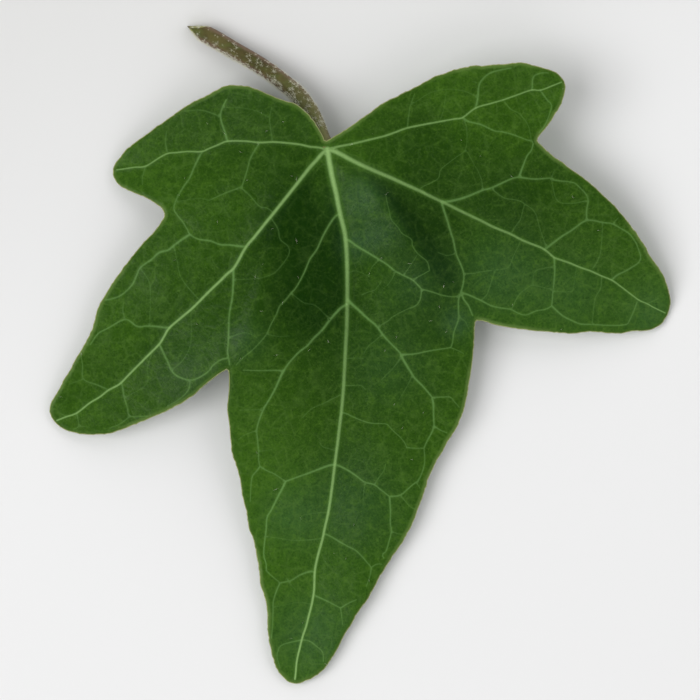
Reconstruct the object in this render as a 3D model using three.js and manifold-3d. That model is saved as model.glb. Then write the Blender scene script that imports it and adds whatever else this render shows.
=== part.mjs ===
// An ivy leaf, as picked: a five-lobed leathery blade, the veins that stiffen it from beneath,
// and its stalk. It lies face up on the tips of its lobes and on the cut end of the stalk.
// Millimetres, +Z up. The central lobe points along -Y and the stalk leaves towards +Y.
import * as THREE from 'three';
import { mergeVertices } from 'three/addons/utils/BufferGeometryUtils.js';
import Module from 'manifold-3d';

const wasm = await Module();
wasm.setup();

// ---------------------------------------------------------------- driving dimensions
const bladeWidth = 62.0; // across the tips of the two side lobes
const bladeLength = 61.9; // from the tip of the central lobe to the top of the right basal lobe
const bladeThickness = 0.4;
const bladeRise = 4.6; // how far the blade stands off the surface where the stalk joins it
const mainSwell = 0.85; // how far the panels between the main veins swell up
const mainReach = 2.8; // how far from a main vein the swelling takes to build up
const sideSwell = 0.3; // the same for the side veins
const sideReach = 1.5;
const ribRadius = 0.5; // a main vein under the blade, where it leaves the stalk
const ribTipRadius = 0.2; // and at the tip of its lobe
const ribCover = 0.12; // blade left above a main vein
const stalkDiameter = 1.6;
const stalkFlare = 0.12; // how much thicker the stalk is at its cut end, as a share
const stalkReach = 16.8; // from the joint to the cut end, seen from above
const stalkEndGap = 0.05; // under the cut end of the stalk
const gridStep = 1.5; // spacing of the facets across the blade
const edgeStep = 1.1; // spacing of the facets along the margin
const tubeSides = 8;

// ---------------------------------------------------------------- hand-chosen shape
// The margin of each lobe, from one sinus to the next, going anticlockwise from the stalk.
const lobes = {
  leftBasal: [
    [-3.5, 21.1], [-4.0, 22.3], [-5.0, 23.7], [-6.4, 25.0], [-7.5, 25.25], [-8.9, 25.75],
    [-10.0, 26.3], [-11.4, 26.78], [-12.2, 26.75], [-13.0, 26.9], [-14.2, 26.4], [-15.2, 25.8],
    [-17.0, 25.0], [-18.3, 24.1], [-20.0, 22.95], [-22.0, 21.5], [-23.0, 20.8], [-24.3, 19.3],
    [-24.7, 18.5], [-24.6, 17.8], [-24.2, 17.1], [-23.4, 16.6], [-21.5, 15.8], [-20.0, 14.95],
    [-19.3, 14.0],
  ],
  leftSide: [
    [-19.3, 14.0], [-20.0, 12.9], [-20.65, 12.05], [-22.05, 10.7], [-22.9, 9.5], [-24.0, 8.15],
    [-24.8, 6.95], [-26.0, 4.95], [-26.35, 4.05], [-26.6, 2.7], [-27.0, 1.95], [-27.8, 0.4],
    [-28.6, -0.8], [-29.0, -1.7], [-29.6, -2.5], [-30.2, -3.8], [-30.7, -4.5], [-31.0, -5.2],
    [-30.98, -5.9], [-30.4, -6.8], [-29.4, -7.5], [-27.8, -7.9], [-26.0, -7.9], [-24.6, -7.7],
    [-23.0, -7.1], [-21.0, -6.3], [-19.2, -5.5], [-17.0, -4.3], [-15.5, -3.0], [-14.3, -2.0],
    [-13.07, -1.25],
  ],
  central: [
    [-13.07, -1.25], [-12.95, -2.6], [-13.03, -3.7], [-13.2, -5.0], [-13.07, -6.4],
    [-12.9, -7.6], [-12.8, -9.5], [-12.55, -10.4], [-12.1, -11.55], [-11.88, -12.9],
    [-11.68, -14.2], [-11.3, -15.5], [-11.2, -16.5], [-11.0, -17.5], [-10.6, -18.4],
    [-10.1, -21.0], [-10.0, -22.3], [-9.75, -23.4], [-9.3, -24.9], [-9.2, -26.1],
    [-9.25, -27.0], [-9.1, -28.2], [-8.7, -30.3], [-8.3, -31.35], [-7.75, -32.15],
    [-7.2, -32.6], [-6.6, -32.86], [-5.7, -32.65], [-4.7, -32.25], [-3.7, -31.5],
    [-3.0, -30.5], [-2.3, -29.4], [-1.85, -28.45], [-1.4, -27.6], [-0.95, -27.0],
    [-0.05, -25.3], [0.6, -24.6], [1.25, -23.45], [2.4, -21.3], [3.85, -19.2], [4.6, -18.0],
    [5.4, -16.4], [6.15, -14.2], [6.55, -13.2], [6.7, -12.5], [7.1, -11.55], [8.2, -9.5],
    [9.35, -7.6], [9.95, -6.5], [10.4, -5.2], [10.9, -2.5], [11.3, 0.6], [11.36, 2.2],
    [11.4, 3.5],
  ],
  rightSide: [
    [11.4, 3.5], [12.1, 3.5], [13.0, 3.2], [14.0, 2.9], [16.0, 2.65], [18.0, 2.35],
    [19.5, 2.3], [21.0, 2.15], [22.6, 2.35], [24.1, 2.3], [26.0, 2.15], [26.8, 2.43],
    [28.8, 2.45], [29.6, 2.8], [30.2, 3.2], [30.7, 4.0], [31.0, 5.1], [31.0, 5.8],
    [30.65, 6.8], [30.2, 8.05], [29.4, 9.15], [28.85, 9.85], [28.5, 10.65], [27.7, 11.85],
    [26.35, 13.65], [25.35, 14.8], [24.0, 16.0], [22.9, 17.1], [21.1, 18.35], [19.6, 19.5],
    [19.0, 19.85], [18.3, 20.6], [17.4, 21.3],
  ],
  rightBasal: [
    [17.4, 21.3], [18.0, 22.1], [18.5, 22.6], [19.4, 24.0], [20.0, 25.0], [20.3, 26.2],
    [20.4, 26.8], [20.0, 27.6], [19.0, 28.25], [17.0, 28.8], [15.7, 29.05], [14.9, 28.9],
    [13.0, 28.8], [12.3, 28.65], [11.8, 28.75], [10.2, 28.55], [9.0, 28.15], [7.2, 27.6],
    [6.0, 26.8], [3.8, 25.8], [2.0, 24.85], [1.0, 24.1], [-1.0, 22.7], [-2.0, 22.0],
    [-3.1, 21.4], [-3.5, 21.1],
  ],
};

// The five main veins leave the joint with the stalk and run to the tips of the lobes.
const joint = [-3.3, 20.5];
const mainVeins = {
  midrib: [
    joint, [-2.8, 17.85], [-2.3, 15.2], [-1.7, 12.8], [-1.35, 10.5], [-1.25, 7.0], [-1.3, 3.0],
    [-1.6, -2.5], [-2.0, -7.0], [-2.6, -11.7], [-3.15, -15.8], [-3.75, -18.4], [-4.45, -21.2],
    [-4.7, -24.3], [-5.4, -27.1], [-6.1, -29.8], [-6.45, -31.9],
  ],
  leftSide: [
    joint, [-4.4, 19.3], [-5.9, 17.5], [-7.8, 15.1], [-9.5, 13.0], [-11.35, 10.8], [-12.7, 8.6],
    [-15.0, 6.35], [-17.6, 3.9], [-19.3, 2.3], [-21.0, 0.1], [-24.0, -2.9], [-27.0, -4.8],
    [-30.0, -6.4],
  ],
  leftBasal: [
    joint, [-6.0, 20.95], [-10.0, 21.15], [-13.2, 21.3], [-15.8, 20.25], [-19.2, 20.1],
    [-21.4, 18.8], [-24.0, 18.5],
  ],
  rightSide: [
    joint, [-0.9, 19.4], [3.0, 17.65], [7.0, 15.8], [11.0, 13.9], [15.0, 12.1], [18.55, 10.4],
    [19.6, 9.6], [23.0, 8.4], [26.0, 6.85], [28.2, 5.3], [30.3, 4.3],
  ],
  rightBasal: [
    joint, [-1.0, 20.95], [2.5, 21.8], [4.6, 22.6], [8.0, 23.2], [10.1, 23.5], [11.5, 24.6],
    [15.5, 25.8], [19.6, 26.9],
  ],
};

// The larger side veins, between which the panels swell a little more.
const sideVeins = [
  [[-2.3, 13.95], [-4.3, 10.5], [-6.3, 6.8], [-8.3, 4.05], [-10.0, 1.2], [-12.3, -0.95]],
  [[-1.5, 4.9], [-4.0, 2.2], [-6.6, -0.3], [-8.5, -3.4], [-10.3, -7.5], [-10.0, -11.1]],
  [[-2.5, -10.9], [-5.1, -11.8], [-7.4, -12.6], [-9.3, -16.2], [-9.6, -20.0]],
  [[-4.5, -21.6], [-6.9, -22.5], [-8.4, -23.6], [-8.8, -28.0]],
  [[-1.0, 11.4], [2.0, 9.4], [5.2, 7.5], [9.4, 5.6], [14.0, 4.7], [19.0, 4.9], [22.0, 3.1], [26.0, 3.0]],
  [[-1.2, 5.4], [1.7, 2.9], [4.1, 0.0], [7.1, -4.2], [7.4, -7.0], [6.4, -9.3], [6.4, -11.0]],
  [[-2.0, -11.1], [0.5, -12.7], [3.0, -14.1], [3.1, -17.5], [2.3, -19.9]],
  [[-3.2, -18.0], [-0.4, -19.5], [1.1, -21.2]],
  [[8.2, 14.9], [9.3, 11.4], [10.3, 7.8], [9.8, 4.5], [9.2, 1.5], [9.0, 0.7]],
  [[-11.4, 10.9], [-15.0, 11.4], [-19.0, 10.5], [-22.3, 7.9], [-24.8, 5.6]],
  [[-12.6, 8.3], [-13.0, 4.0], [-13.1, 0.3]],
  [[8.6, 15.2], [12.2, 16.4], [15.8, 17.7], [21.0, 17.2]],
  [[18.5, 10.8], [22.5, 13.4], [26.0, 12.6]],
  [[-15.8, 20.3], [-17.0, 17.6], [-18.5, 14.4], [-17.0, 12.0]],
];

// How the blade lies: x, y and its height as a share of bladeRise.
const lie = [
  [-3.4, 20.8, 0.98], [-7.0, 25.0, 0.98], [-12.5, 26.8, 0.78], [-14.0, 21.0, 0.62],
  [-20.0, 23.0, 0.32], [-24.7, 18.5, 0.06], [-19.5, 14.0, 0.55], [-12.0, 9.5, 0.92],
  [-19.0, 2.7, 0.55], [-24.0, 8.5, 0.34], [-27.5, 1.2, 0.18], [-25.0, -3.5, 0.2],
  [-31.0, -5.8, 0.04], [-22.0, -6.5, 0.33], [-13.0, -1.0, 1.0], [-2.0, 13.7, 1.0],
  [-1.3, 6.0, 0.92], [-1.6, -2.5, 0.64], [-2.5, -11.5, 0.32], [-4.0, -21.5, 0.13],
  [-6.6, -32.9, 0.03], [-13.0, -6.0, 0.66], [-12.0, -12.0, 0.35], [-10.5, -18.5, 0.18],
  [-9.2, -27.0, 0.08], [11.2, 0.0, 0.48], [10.0, -6.5, 0.26], [6.0, -14.0, 0.15],
  [2.5, -21.0, 0.09], [-1.0, -27.0, 0.06], [11.4, 3.5, 0.57], [3.0, 17.6, 0.92],
  [10.0, 14.3, 0.78], [18.5, 10.4, 0.62], [25.0, 7.5, 0.32], [31.0, 5.5, 0.05],
  [17.0, 2.5, 0.44], [25.0, 2.2, 0.2], [29.0, 10.0, 0.42], [24.7, 15.5, 0.74],
  [19.5, 19.5, 0.92], [17.4, 21.3, 1.0], [4.6, 22.6, 1.04], [10.0, 23.5, 1.13],
  [20.4, 26.8, 1.3], [15.5, 29.0, 1.26], [9.0, 28.1, 1.1], [2.0, 24.9, 1.03],
];
const lieSlack = 12; // how far the bent plate may ease past these heights to stay smooth

// The two panels beside the midrib stand up in a long fold.
const folds = [
  { route: [[-1.0, 18.5], [2.0, 16.0], [4.5, 13.0], [6.5, 10.0], [7.5, 7.0]], rise: 0.95, spread: 2.0 },
  { route: [[-6.0, 16.5], [-9.0, 11.0], [-10.3, 6.0], [-10.8, 1.0]], rise: 0.7, spread: 2.3 },
];

// The stalk's centre line from the joint to the cut end: x and y, and its height as a share of
// the way down from the joint (1) to the surface (0).
const stalkRoute = [
  [-3.3, 20.5, 1.0], [-4.1, 22.1, 0.84], [-5.1, 24.4, 0.62], [-6.3, 26.0, 0.48],
  [-8.0, 27.5, 0.36], [-10.0, 28.95, 0.25], [-12.5, 30.4, 0.13], [-14.2, 31.35, 0.05],
  [-15.7, 32.15, 0.0],
];
const stalkCutTurn = 0.52; // how far the cut face turns from square to the stalk, in radians

// ---------------------------------------------------------------- placing the drawn shape
const drawn = new THREE.Box2().setFromPoints(
  Object.values(lobes).flat().map(([x, y]) => new THREE.Vector2(x, y)),
);
const drawnSize = drawn.getSize(new THREE.Vector2());
const stretchX = bladeWidth / drawnSize.x;
const stretchY = bladeLength / drawnSize.y;
const place = ([x, y]) => new THREE.Vector2(x * stretchX, y * stretchY);

function smoothRoute(points, step) {
  const route = new THREE.CatmullRomCurve3(
    points.map((point) => new THREE.Vector3(...place(point).toArray(), 0)),
    false,
    'centripetal',
  );
  const count = Math.max(2, Math.ceil(route.getLength() / step));
  return route.getPoints(count).map((p) => new THREE.Vector2(p.x, p.y));
}

// ---------------------------------------------------------------- height of the blade
function distanceToRoute(x, y, route) {
  let nearest = Infinity;
  for (let i = 1; i < route.length; i += 1) {
    const a = route[i - 1];
    const ab = route[i].clone().sub(a);
    const along = ((x - a.x) * ab.x + (y - a.y) * ab.y) / ab.lengthSq();
    const t = THREE.MathUtils.clamp(along, 0, 1);
    nearest = Math.min(nearest, Math.hypot(x - a.x - t * ab.x, y - a.y - t * ab.y));
  }
  return nearest;
}

const distanceToAny = (x, y, routes) => Math.min(...routes.map((route) => distanceToRoute(x, y, route)));
const bell = (distance, spread) => Math.exp(-((distance / spread) ** 2));

const lieStops = lie.map(([x, y, share]) => ({ at: place([x, y]), height: share * bladeRise }));
const mainRoutes = Object.values(mainVeins).map((points) => points.map(place));
const sideRoutes = sideVeins.map((points) => points.map(place));
const foldRoutes = folds.map(({ route, rise, spread }) => ({ route: route.map(place), rise, spread }));

// Solves rows of a square system, each with its right-hand side last, by elimination.
function solve(rows) {
  rows.forEach((_, i) => {
    const best = rows.slice(i).reduce((k, row, j) => (
      Math.abs(row[i]) > Math.abs(rows[k][i]) ? i + j : k
    ), i);
    [rows[i], rows[best]] = [rows[best], rows[i]];
    rows.forEach((row, j) => {
      if (j === i) return;
      const share = row[i] / rows[i][i];
      for (let k = i; k < row.length; k += 1) row[k] -= share * rows[i][k];
    });
  });
  return rows.map((row, i) => row[row.length - 1] / row[i]);
}

// A thin plate that bends through the heights at the stops, easing past them by the slack.
function bendPlate(stops, slack) {
  const pull = (x, y, at) => {
    const square = (x - at.x) ** 2 + (y - at.y) ** 2;
    return square > 0 ? square * Math.log(square) : 0;
  };
  const rows = stops.map(({ at, height }, i) => [
    ...stops.map((other, j) => pull(at.x, at.y, other.at) + (i === j ? slack : 0)), 1, at.x, at.y, height,
  ]);
  rows.push([...stops.map(() => 1), 0, 0, 0, 0]);
  rows.push([...stops.map(({ at }) => at.x), 0, 0, 0, 0]);
  rows.push([...stops.map(({ at }) => at.y), 0, 0, 0, 0]);
  const pulls = solve(rows);
  const [level, slopeX, slopeY] = pulls.splice(stops.length);
  return (x, y) => stops.reduce(
    (height, { at }, i) => height + pulls[i] * pull(x, y, at), level + slopeX * x + slopeY * y,
  );
}

const heightOfLie = bendPlate(lieStops, lieSlack);

// The height of the middle of the blade above the surface.
function heightOfBlade(x, y) {
  let height = heightOfLie(x, y);
  height += mainSwell * (1 - bell(distanceToAny(x, y, mainRoutes), mainReach));
  height += sideSwell * (1 - bell(distanceToAny(x, y, sideRoutes), sideReach));
  for (const { route, rise, spread } of foldRoutes) {
    height += rise * bell(distanceToRoute(x, y, route), spread);
  }
  return height;
}

// ---------------------------------------------------------------- solids
function toSolid(geometry) {
  const bare = geometry.clone();
  bare.deleteAttribute('normal');
  bare.deleteAttribute('uv');
  const merged = mergeVertices(bare, 1e-5);
  return new wasm.Manifold(new wasm.Mesh({
    numProp: 3,
    vertProperties: new Float32Array(merged.attributes.position.array),
    triVerts: new Uint32Array(merged.index.array),
  }));
}

function toGeometry(solid) {
  const mesh = solid.getMesh();
  const geometry = new THREE.BufferGeometry();
  geometry.setAttribute('position', new THREE.BufferAttribute(new Float32Array(mesh.vertProperties), 3));
  geometry.setIndex(new THREE.BufferAttribute(new Uint32Array(mesh.triVerts), 1));
  return geometry;
}

// A flat sheet of facets, bent to the height of the blade on both of its faces.
function makeSheet() {
  const spare = 2 * gridStep;
  const width = bladeWidth + spare;
  const length = bladeLength + spare;
  const sheet = new THREE.BoxGeometry(
    width, length, bladeThickness, Math.round(width / gridStep), Math.round(length / gridStep), 1,
  );
  const middle = drawn.getCenter(new THREE.Vector2());
  sheet.translate(middle.x * stretchX, middle.y * stretchY, 0);
  const position = sheet.attributes.position;
  for (let i = 0; i < position.count; i += 1) {
    const height = heightOfBlade(position.getX(i), position.getY(i));
    position.setZ(i, position.getZ(i) + height);
  }
  return toSolid(sheet);
}

// An upright prism with the leaf's outline, which trims the sheet.
function makeOutline() {
  const margin = Object.values(lobes).flatMap((points) => smoothRoute(points, edgeStep).slice(1));
  const tall = 4 * bladeRise;
  const prism = new THREE.ExtrudeGeometry(new THREE.Shape(margin), { depth: tall, bevelEnabled: false });
  prism.translate(0, 0, -tall / 4);
  return toSolid(prism);
}

// A closed tube through the given centres, each with its own radius. The last ring can be
// turned about the upright, for a slanting cut.
function makeTube(centres, radii, cutTurn = 0) {
  const vertices = [];
  const faces = [];
  const up = new THREE.Vector3(0, 0, 1);
  const last = centres.length - 1;
  centres.forEach((centre, i) => {
    const ahead = centres[Math.min(i + 1, last)].clone().sub(centres[Math.max(i - 1, 0)]).normalize();
    const across = new THREE.Vector3().crossVectors(up, ahead).normalize();
    const above = new THREE.Vector3().crossVectors(ahead, across);
    const slant = i === last ? Math.tan(cutTurn) : 0;
    for (let k = 0; k < tubeSides; k += 1) {
      const angle = (2 * Math.PI * k) / tubeSides;
      const side = radii[i] * Math.cos(angle);
      const point = centre.clone();
      point.addScaledVector(across, side).addScaledVector(above, radii[i] * Math.sin(angle));
      point.addScaledVector(ahead, side * slant);
      vertices.push(...point.toArray());
    }
  });
  for (let i = 0; i < last; i += 1) {
    for (let k = 0; k < tubeSides; k += 1) {
      const next = (k + 1) % tubeSides;
      const [a, b] = [i * tubeSides + k, i * tubeSides + next];
      const [c, d] = [a + tubeSides, b + tubeSides];
      faces.push(a, b, d, a, d, c);
    }
  }
  const end = last * tubeSides;
  for (let k = 1; k < tubeSides - 1; k += 1) {
    faces.push(0, k + 1, k, end, end + k, end + k + 1);
  }
  const tube = new THREE.BufferGeometry();
  tube.setAttribute('position', new THREE.BufferAttribute(new Float32Array(vertices), 3));
  tube.setIndex(faces);
  return toSolid(tube);
}

// A main vein stands out under the blade and tapers towards the tip of its lobe.
function makeRib(points) {
  const route = smoothRoute(points, 2 * gridStep);
  const radii = route.map((_, i) => THREE.MathUtils.lerp(ribRadius, ribTipRadius, i / (route.length - 1)));
  const centres = route.map(({ x, y }, i) => {
    const z = heightOfBlade(x, y) + bladeThickness / 2 - ribCover - radii[i];
    return new THREE.Vector3(x, y, z);
  });
  return makeTube(centres, radii);
}

// The stalk leaves the joint under the blade and comes down to lie on its cut end.
function makeStalk() {
  const start = new THREE.Vector3(...stalkRoute[0]);
  const end = stalkRoute[stalkRoute.length - 1];
  const stretch = stalkReach / Math.hypot(end[0] - start.x, end[1] - start.y);
  const root = place(joint);
  const radius = stalkDiameter / 2;
  const top = heightOfBlade(root.x, root.y) + bladeThickness / 2 - ribCover - radius;
  const bottom = radius * (1 + stalkFlare) + stalkEndGap;
  const route = new THREE.CatmullRomCurve3(stalkRoute.map(([x, y, share]) => new THREE.Vector3(
    root.x + (x - start.x) * stretch,
    root.y + (y - start.y) * stretch,
    THREE.MathUtils.lerp(bottom, top, share),
  )));
  const steps = Math.round(route.getLength() / stalkDiameter);
  const centres = route.getSpacedPoints(steps);
  const radii = centres.map((_, i) => radius * (1 + stalkFlare * (i / steps) ** 2));
  return makeTube(centres, radii, stalkCutTurn);
}

// Joining curved facets can leave a sliver of a pocket inside, so only the outer skin is kept.
function withoutPockets(solid) {
  const skins = solid.decompose();
  return skins.reduce((largest, skin) => (skin.volume() > largest.volume() ? skin : largest));
}

// ---------------------------------------------------------------- the leaf
let leafSolid = makeSheet().intersect(makeOutline());
for (const points of Object.values(mainVeins)) leafSolid = leafSolid.add(makeRib(points));
leafSolid = withoutPockets(leafSolid.add(makeStalk()));

// The origin goes to the middle of the leaf's box, on the surface that it lies on.
const leafGeometry = toGeometry(leafSolid);
leafGeometry.computeBoundingBox();
const leafBox = leafGeometry.boundingBox;
const leafMiddle = leafBox.getCenter(new THREE.Vector3());
leafGeometry.translate(-leafMiddle.x, -leafMiddle.y, -leafBox.min.z);
leafGeometry.computeVertexNormals();

const leafSkin = new THREE.MeshStandardMaterial({ color: 0x4a7034, roughness: 0.45, metalness: 0 });
const leaf = new THREE.Mesh(leafGeometry, leafSkin);
leaf.name = 'ivy_leaf';

const ivyLeaf = new THREE.Group();
ivyLeaf.add(leaf);

export default ivyLeaf;
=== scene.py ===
"""An ivy leaf, as picked: its five-lobed leathery blade, its stalk, and the pale hairs on both."""

import math
import random

import bmesh
import bpy
import numpy as np
from mathutils import Matrix, Vector, geometry, kdtree, noise
from mathutils.bvhtree import BVHTree


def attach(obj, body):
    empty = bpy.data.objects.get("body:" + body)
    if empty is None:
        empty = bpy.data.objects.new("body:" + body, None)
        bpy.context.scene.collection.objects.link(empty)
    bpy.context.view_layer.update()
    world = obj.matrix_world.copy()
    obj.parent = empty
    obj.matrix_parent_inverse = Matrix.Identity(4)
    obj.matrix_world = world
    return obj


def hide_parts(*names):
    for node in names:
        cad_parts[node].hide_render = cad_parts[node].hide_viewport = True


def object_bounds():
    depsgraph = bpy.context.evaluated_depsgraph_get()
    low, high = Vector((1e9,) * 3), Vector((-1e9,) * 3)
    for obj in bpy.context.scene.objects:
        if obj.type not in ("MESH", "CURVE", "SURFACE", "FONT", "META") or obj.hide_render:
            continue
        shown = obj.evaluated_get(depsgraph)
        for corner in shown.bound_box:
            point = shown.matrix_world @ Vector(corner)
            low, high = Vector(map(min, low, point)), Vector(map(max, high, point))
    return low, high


chance = random.Random(11)

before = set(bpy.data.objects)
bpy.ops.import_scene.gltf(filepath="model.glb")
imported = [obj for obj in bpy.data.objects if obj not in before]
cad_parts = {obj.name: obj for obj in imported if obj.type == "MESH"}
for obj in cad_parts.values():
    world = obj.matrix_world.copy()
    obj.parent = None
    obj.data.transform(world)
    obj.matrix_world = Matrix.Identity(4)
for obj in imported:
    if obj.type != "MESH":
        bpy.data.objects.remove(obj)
CAD_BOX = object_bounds()

# ---------------------------------------------------------------- sizes, in millimetres
MM = 0.001
TIP_Y = -32.86  # the tip of the central lobe, in the millimetres that the routes below use
SHIFT = Vector((0.0, CAD_BOX[0].y / MM - TIP_Y))  # from those to the frame's own

SKIN_STEP = 0.3  # spacing of the points across the blade
VEIN_STEP = 0.28  # and along its veins and margin
BLADE_THICKNESS = 0.36
MARGIN_THICKNESS = 0.17  # at the very edge
MARGIN_WIDTH = 0.4  # how far in from the edge the blade reaches its full thickness
MARGIN_WAVES = [(0.035, 0.9, 3.0), (0.075, 2.3, 8.0)]  # how deep, how many to the millimetre, and a level
SKIN_WAVES = [(0.10, 0.28, 1.0), (0.045, 0.9, 5.0), (0.02, 2.4, 9.0)]
FACET_BLUR = 1.0  # how far the facets of the solid are smoothed out
MAIN_REACH, SIDE_REACH = 3.6, 1.8  # how far from a main or side vein its effects are worked out
BESIDE_NO_VEIN = 8.0  # how many half widths away a vein is said to be where none is near
TONE_AND_PAINTED_LIGHT_SPREAD = 3.4  # how far each stop of skin tone and painted light spreads
STALK_RADIUS = 0.85
STALK_ROUNDNESS = 10  # extra edges in each half of its round

# ---------------------------------------------------------------- veins, in millimetres
# Main veins: half the width at the joint and at the far end, how pale they are from one to the other,
# and the route.
JOINT = (-3.25, 20.45)
MAIN_VEINS = {
    "midrib": (0.26, 0.09, (1.0, 0.42, 0.75, 0.85), [
        JOINT, (-3.05, 19.2), (-2.8, 17.85), (-2.4, 16.15), (-2.15, 14.85), (-1.9, 13.7), (-1.55, 12.3),
        (-1.38, 10.95), (-1.3, 9.3), (-1.27, 7.6), (-1.27, 5.9), (-1.32, 3.0), (-1.46, 0.3), (-1.57, -1.9),
        (-1.66, -3.5), (-1.84, -5.5), (-2.01, -6.9), (-2.2, -8.5), (-2.36, -9.7), (-2.55, -11.2),
        (-2.75, -12.9), (-2.97, -14.5), (-3.18, -15.8), (-3.5, -17.2), (-3.75, -18.4), (-4.09, -19.6),
        (-4.38, -20.8), (-4.53, -21.8), (-4.59, -23.5), (-4.8, -24.8), (-5.08, -25.9), (-5.38, -27.1),
        (-5.72, -28.1), (-6.0, -29.2), (-6.3, -30.5), (-6.43, -31.8), (-6.5, -32.4)]),
    "left": (0.19, 0.08, (0.7, 0.7, 0.62), [
        JOINT, (-3.8, 20.0), (-4.4, 19.3), (-5.0, 18.65), (-5.9, 17.5), (-7.0, 16.1), (-7.8, 15.1),
        (-8.6, 14.1), (-9.5, 13.0), (-10.5, 11.75), (-11.35, 10.75), (-12.1, 9.4), (-12.6, 8.6),
        (-13.2, 8.1), (-14.0, 7.3), (-15.0, 6.35), (-16.7, 4.65), (-17.6, 3.9), (-19.0, 2.7),
        (-19.5, 1.9), (-20.0, 1.1), (-21.0, 0.1), (-22.0, -0.9), (-23.0, -1.9), (-24.0, -2.9),
        (-25.1, -3.5), (-26.0, -4.2), (-27.0, -4.8), (-28.3, -5.8), (-29.3, -6.15), (-30.3, -6.55)]),
    "left_basal": (0.12, 0.07, (0.5, 0.47, 0.45), [
        JOINT, (-4.2, 20.65), (-5.0, 20.72), (-6.0, 20.95), (-7.5, 21.12), (-8.7, 21.2), (-10.0, 21.15),
        (-11.5, 21.3), (-13.2, 21.3), (-14.0, 21.0), (-15.0, 20.6), (-15.8, 20.28), (-17.2, 20.3),
        (-18.2, 20.2), (-19.2, 20.1), (-20.0, 19.7), (-21.4, 18.85), (-22.5, 18.75), (-23.5, 18.6),
        (-24.3, 18.5)]),
    "right": (0.23, 0.06, (0.82, 0.45, 0.48, 0.5), [
        JOINT, (-2.5, 20.25), (-1.8, 19.9), (-0.9, 19.4), (0.0, 18.95), (1.0, 18.5), (2.0, 18.07),
        (3.0, 17.65), (4.0, 17.2), (5.0, 16.75), (6.0, 16.3), (7.0, 15.8), (8.1, 15.28), (9.05, 14.83),
        (10.0, 14.35), (12.0, 13.4), (13.0, 12.88), (14.0, 12.45), (15.0, 12.05), (16.0, 11.52),
        (17.0, 11.1), (18.0, 10.72), (18.6, 10.35), (19.35, 9.72), (20.0, 9.48), (21.0, 9.13),
        (22.0, 8.72), (23.0, 8.38), (24.1, 7.88), (25.1, 7.48), (26.0, 6.85), (27.0, 6.1),
        (27.85, 5.48), (28.65, 5.13), (29.4, 4.72), (30.5, 4.2)]),
    "right_basal": (0.12, 0.07, (0.5, 0.47, 0.45), [
        JOINT, (-2.2, 20.72), (-1.0, 20.95), (0.0, 21.18), (1.0, 21.43), (2.5, 21.8), (3.5, 22.15),
        (4.6, 22.55), (6.0, 22.85), (8.0, 23.22), (9.5, 23.48), (10.2, 23.6), (11.5, 24.55),
        (13.0, 25.0), (14.2, 25.35), (15.5, 25.8), (17.0, 26.32), (17.9, 26.3), (19.0, 26.7),
        (20.0, 27.1)]),
}

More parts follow.
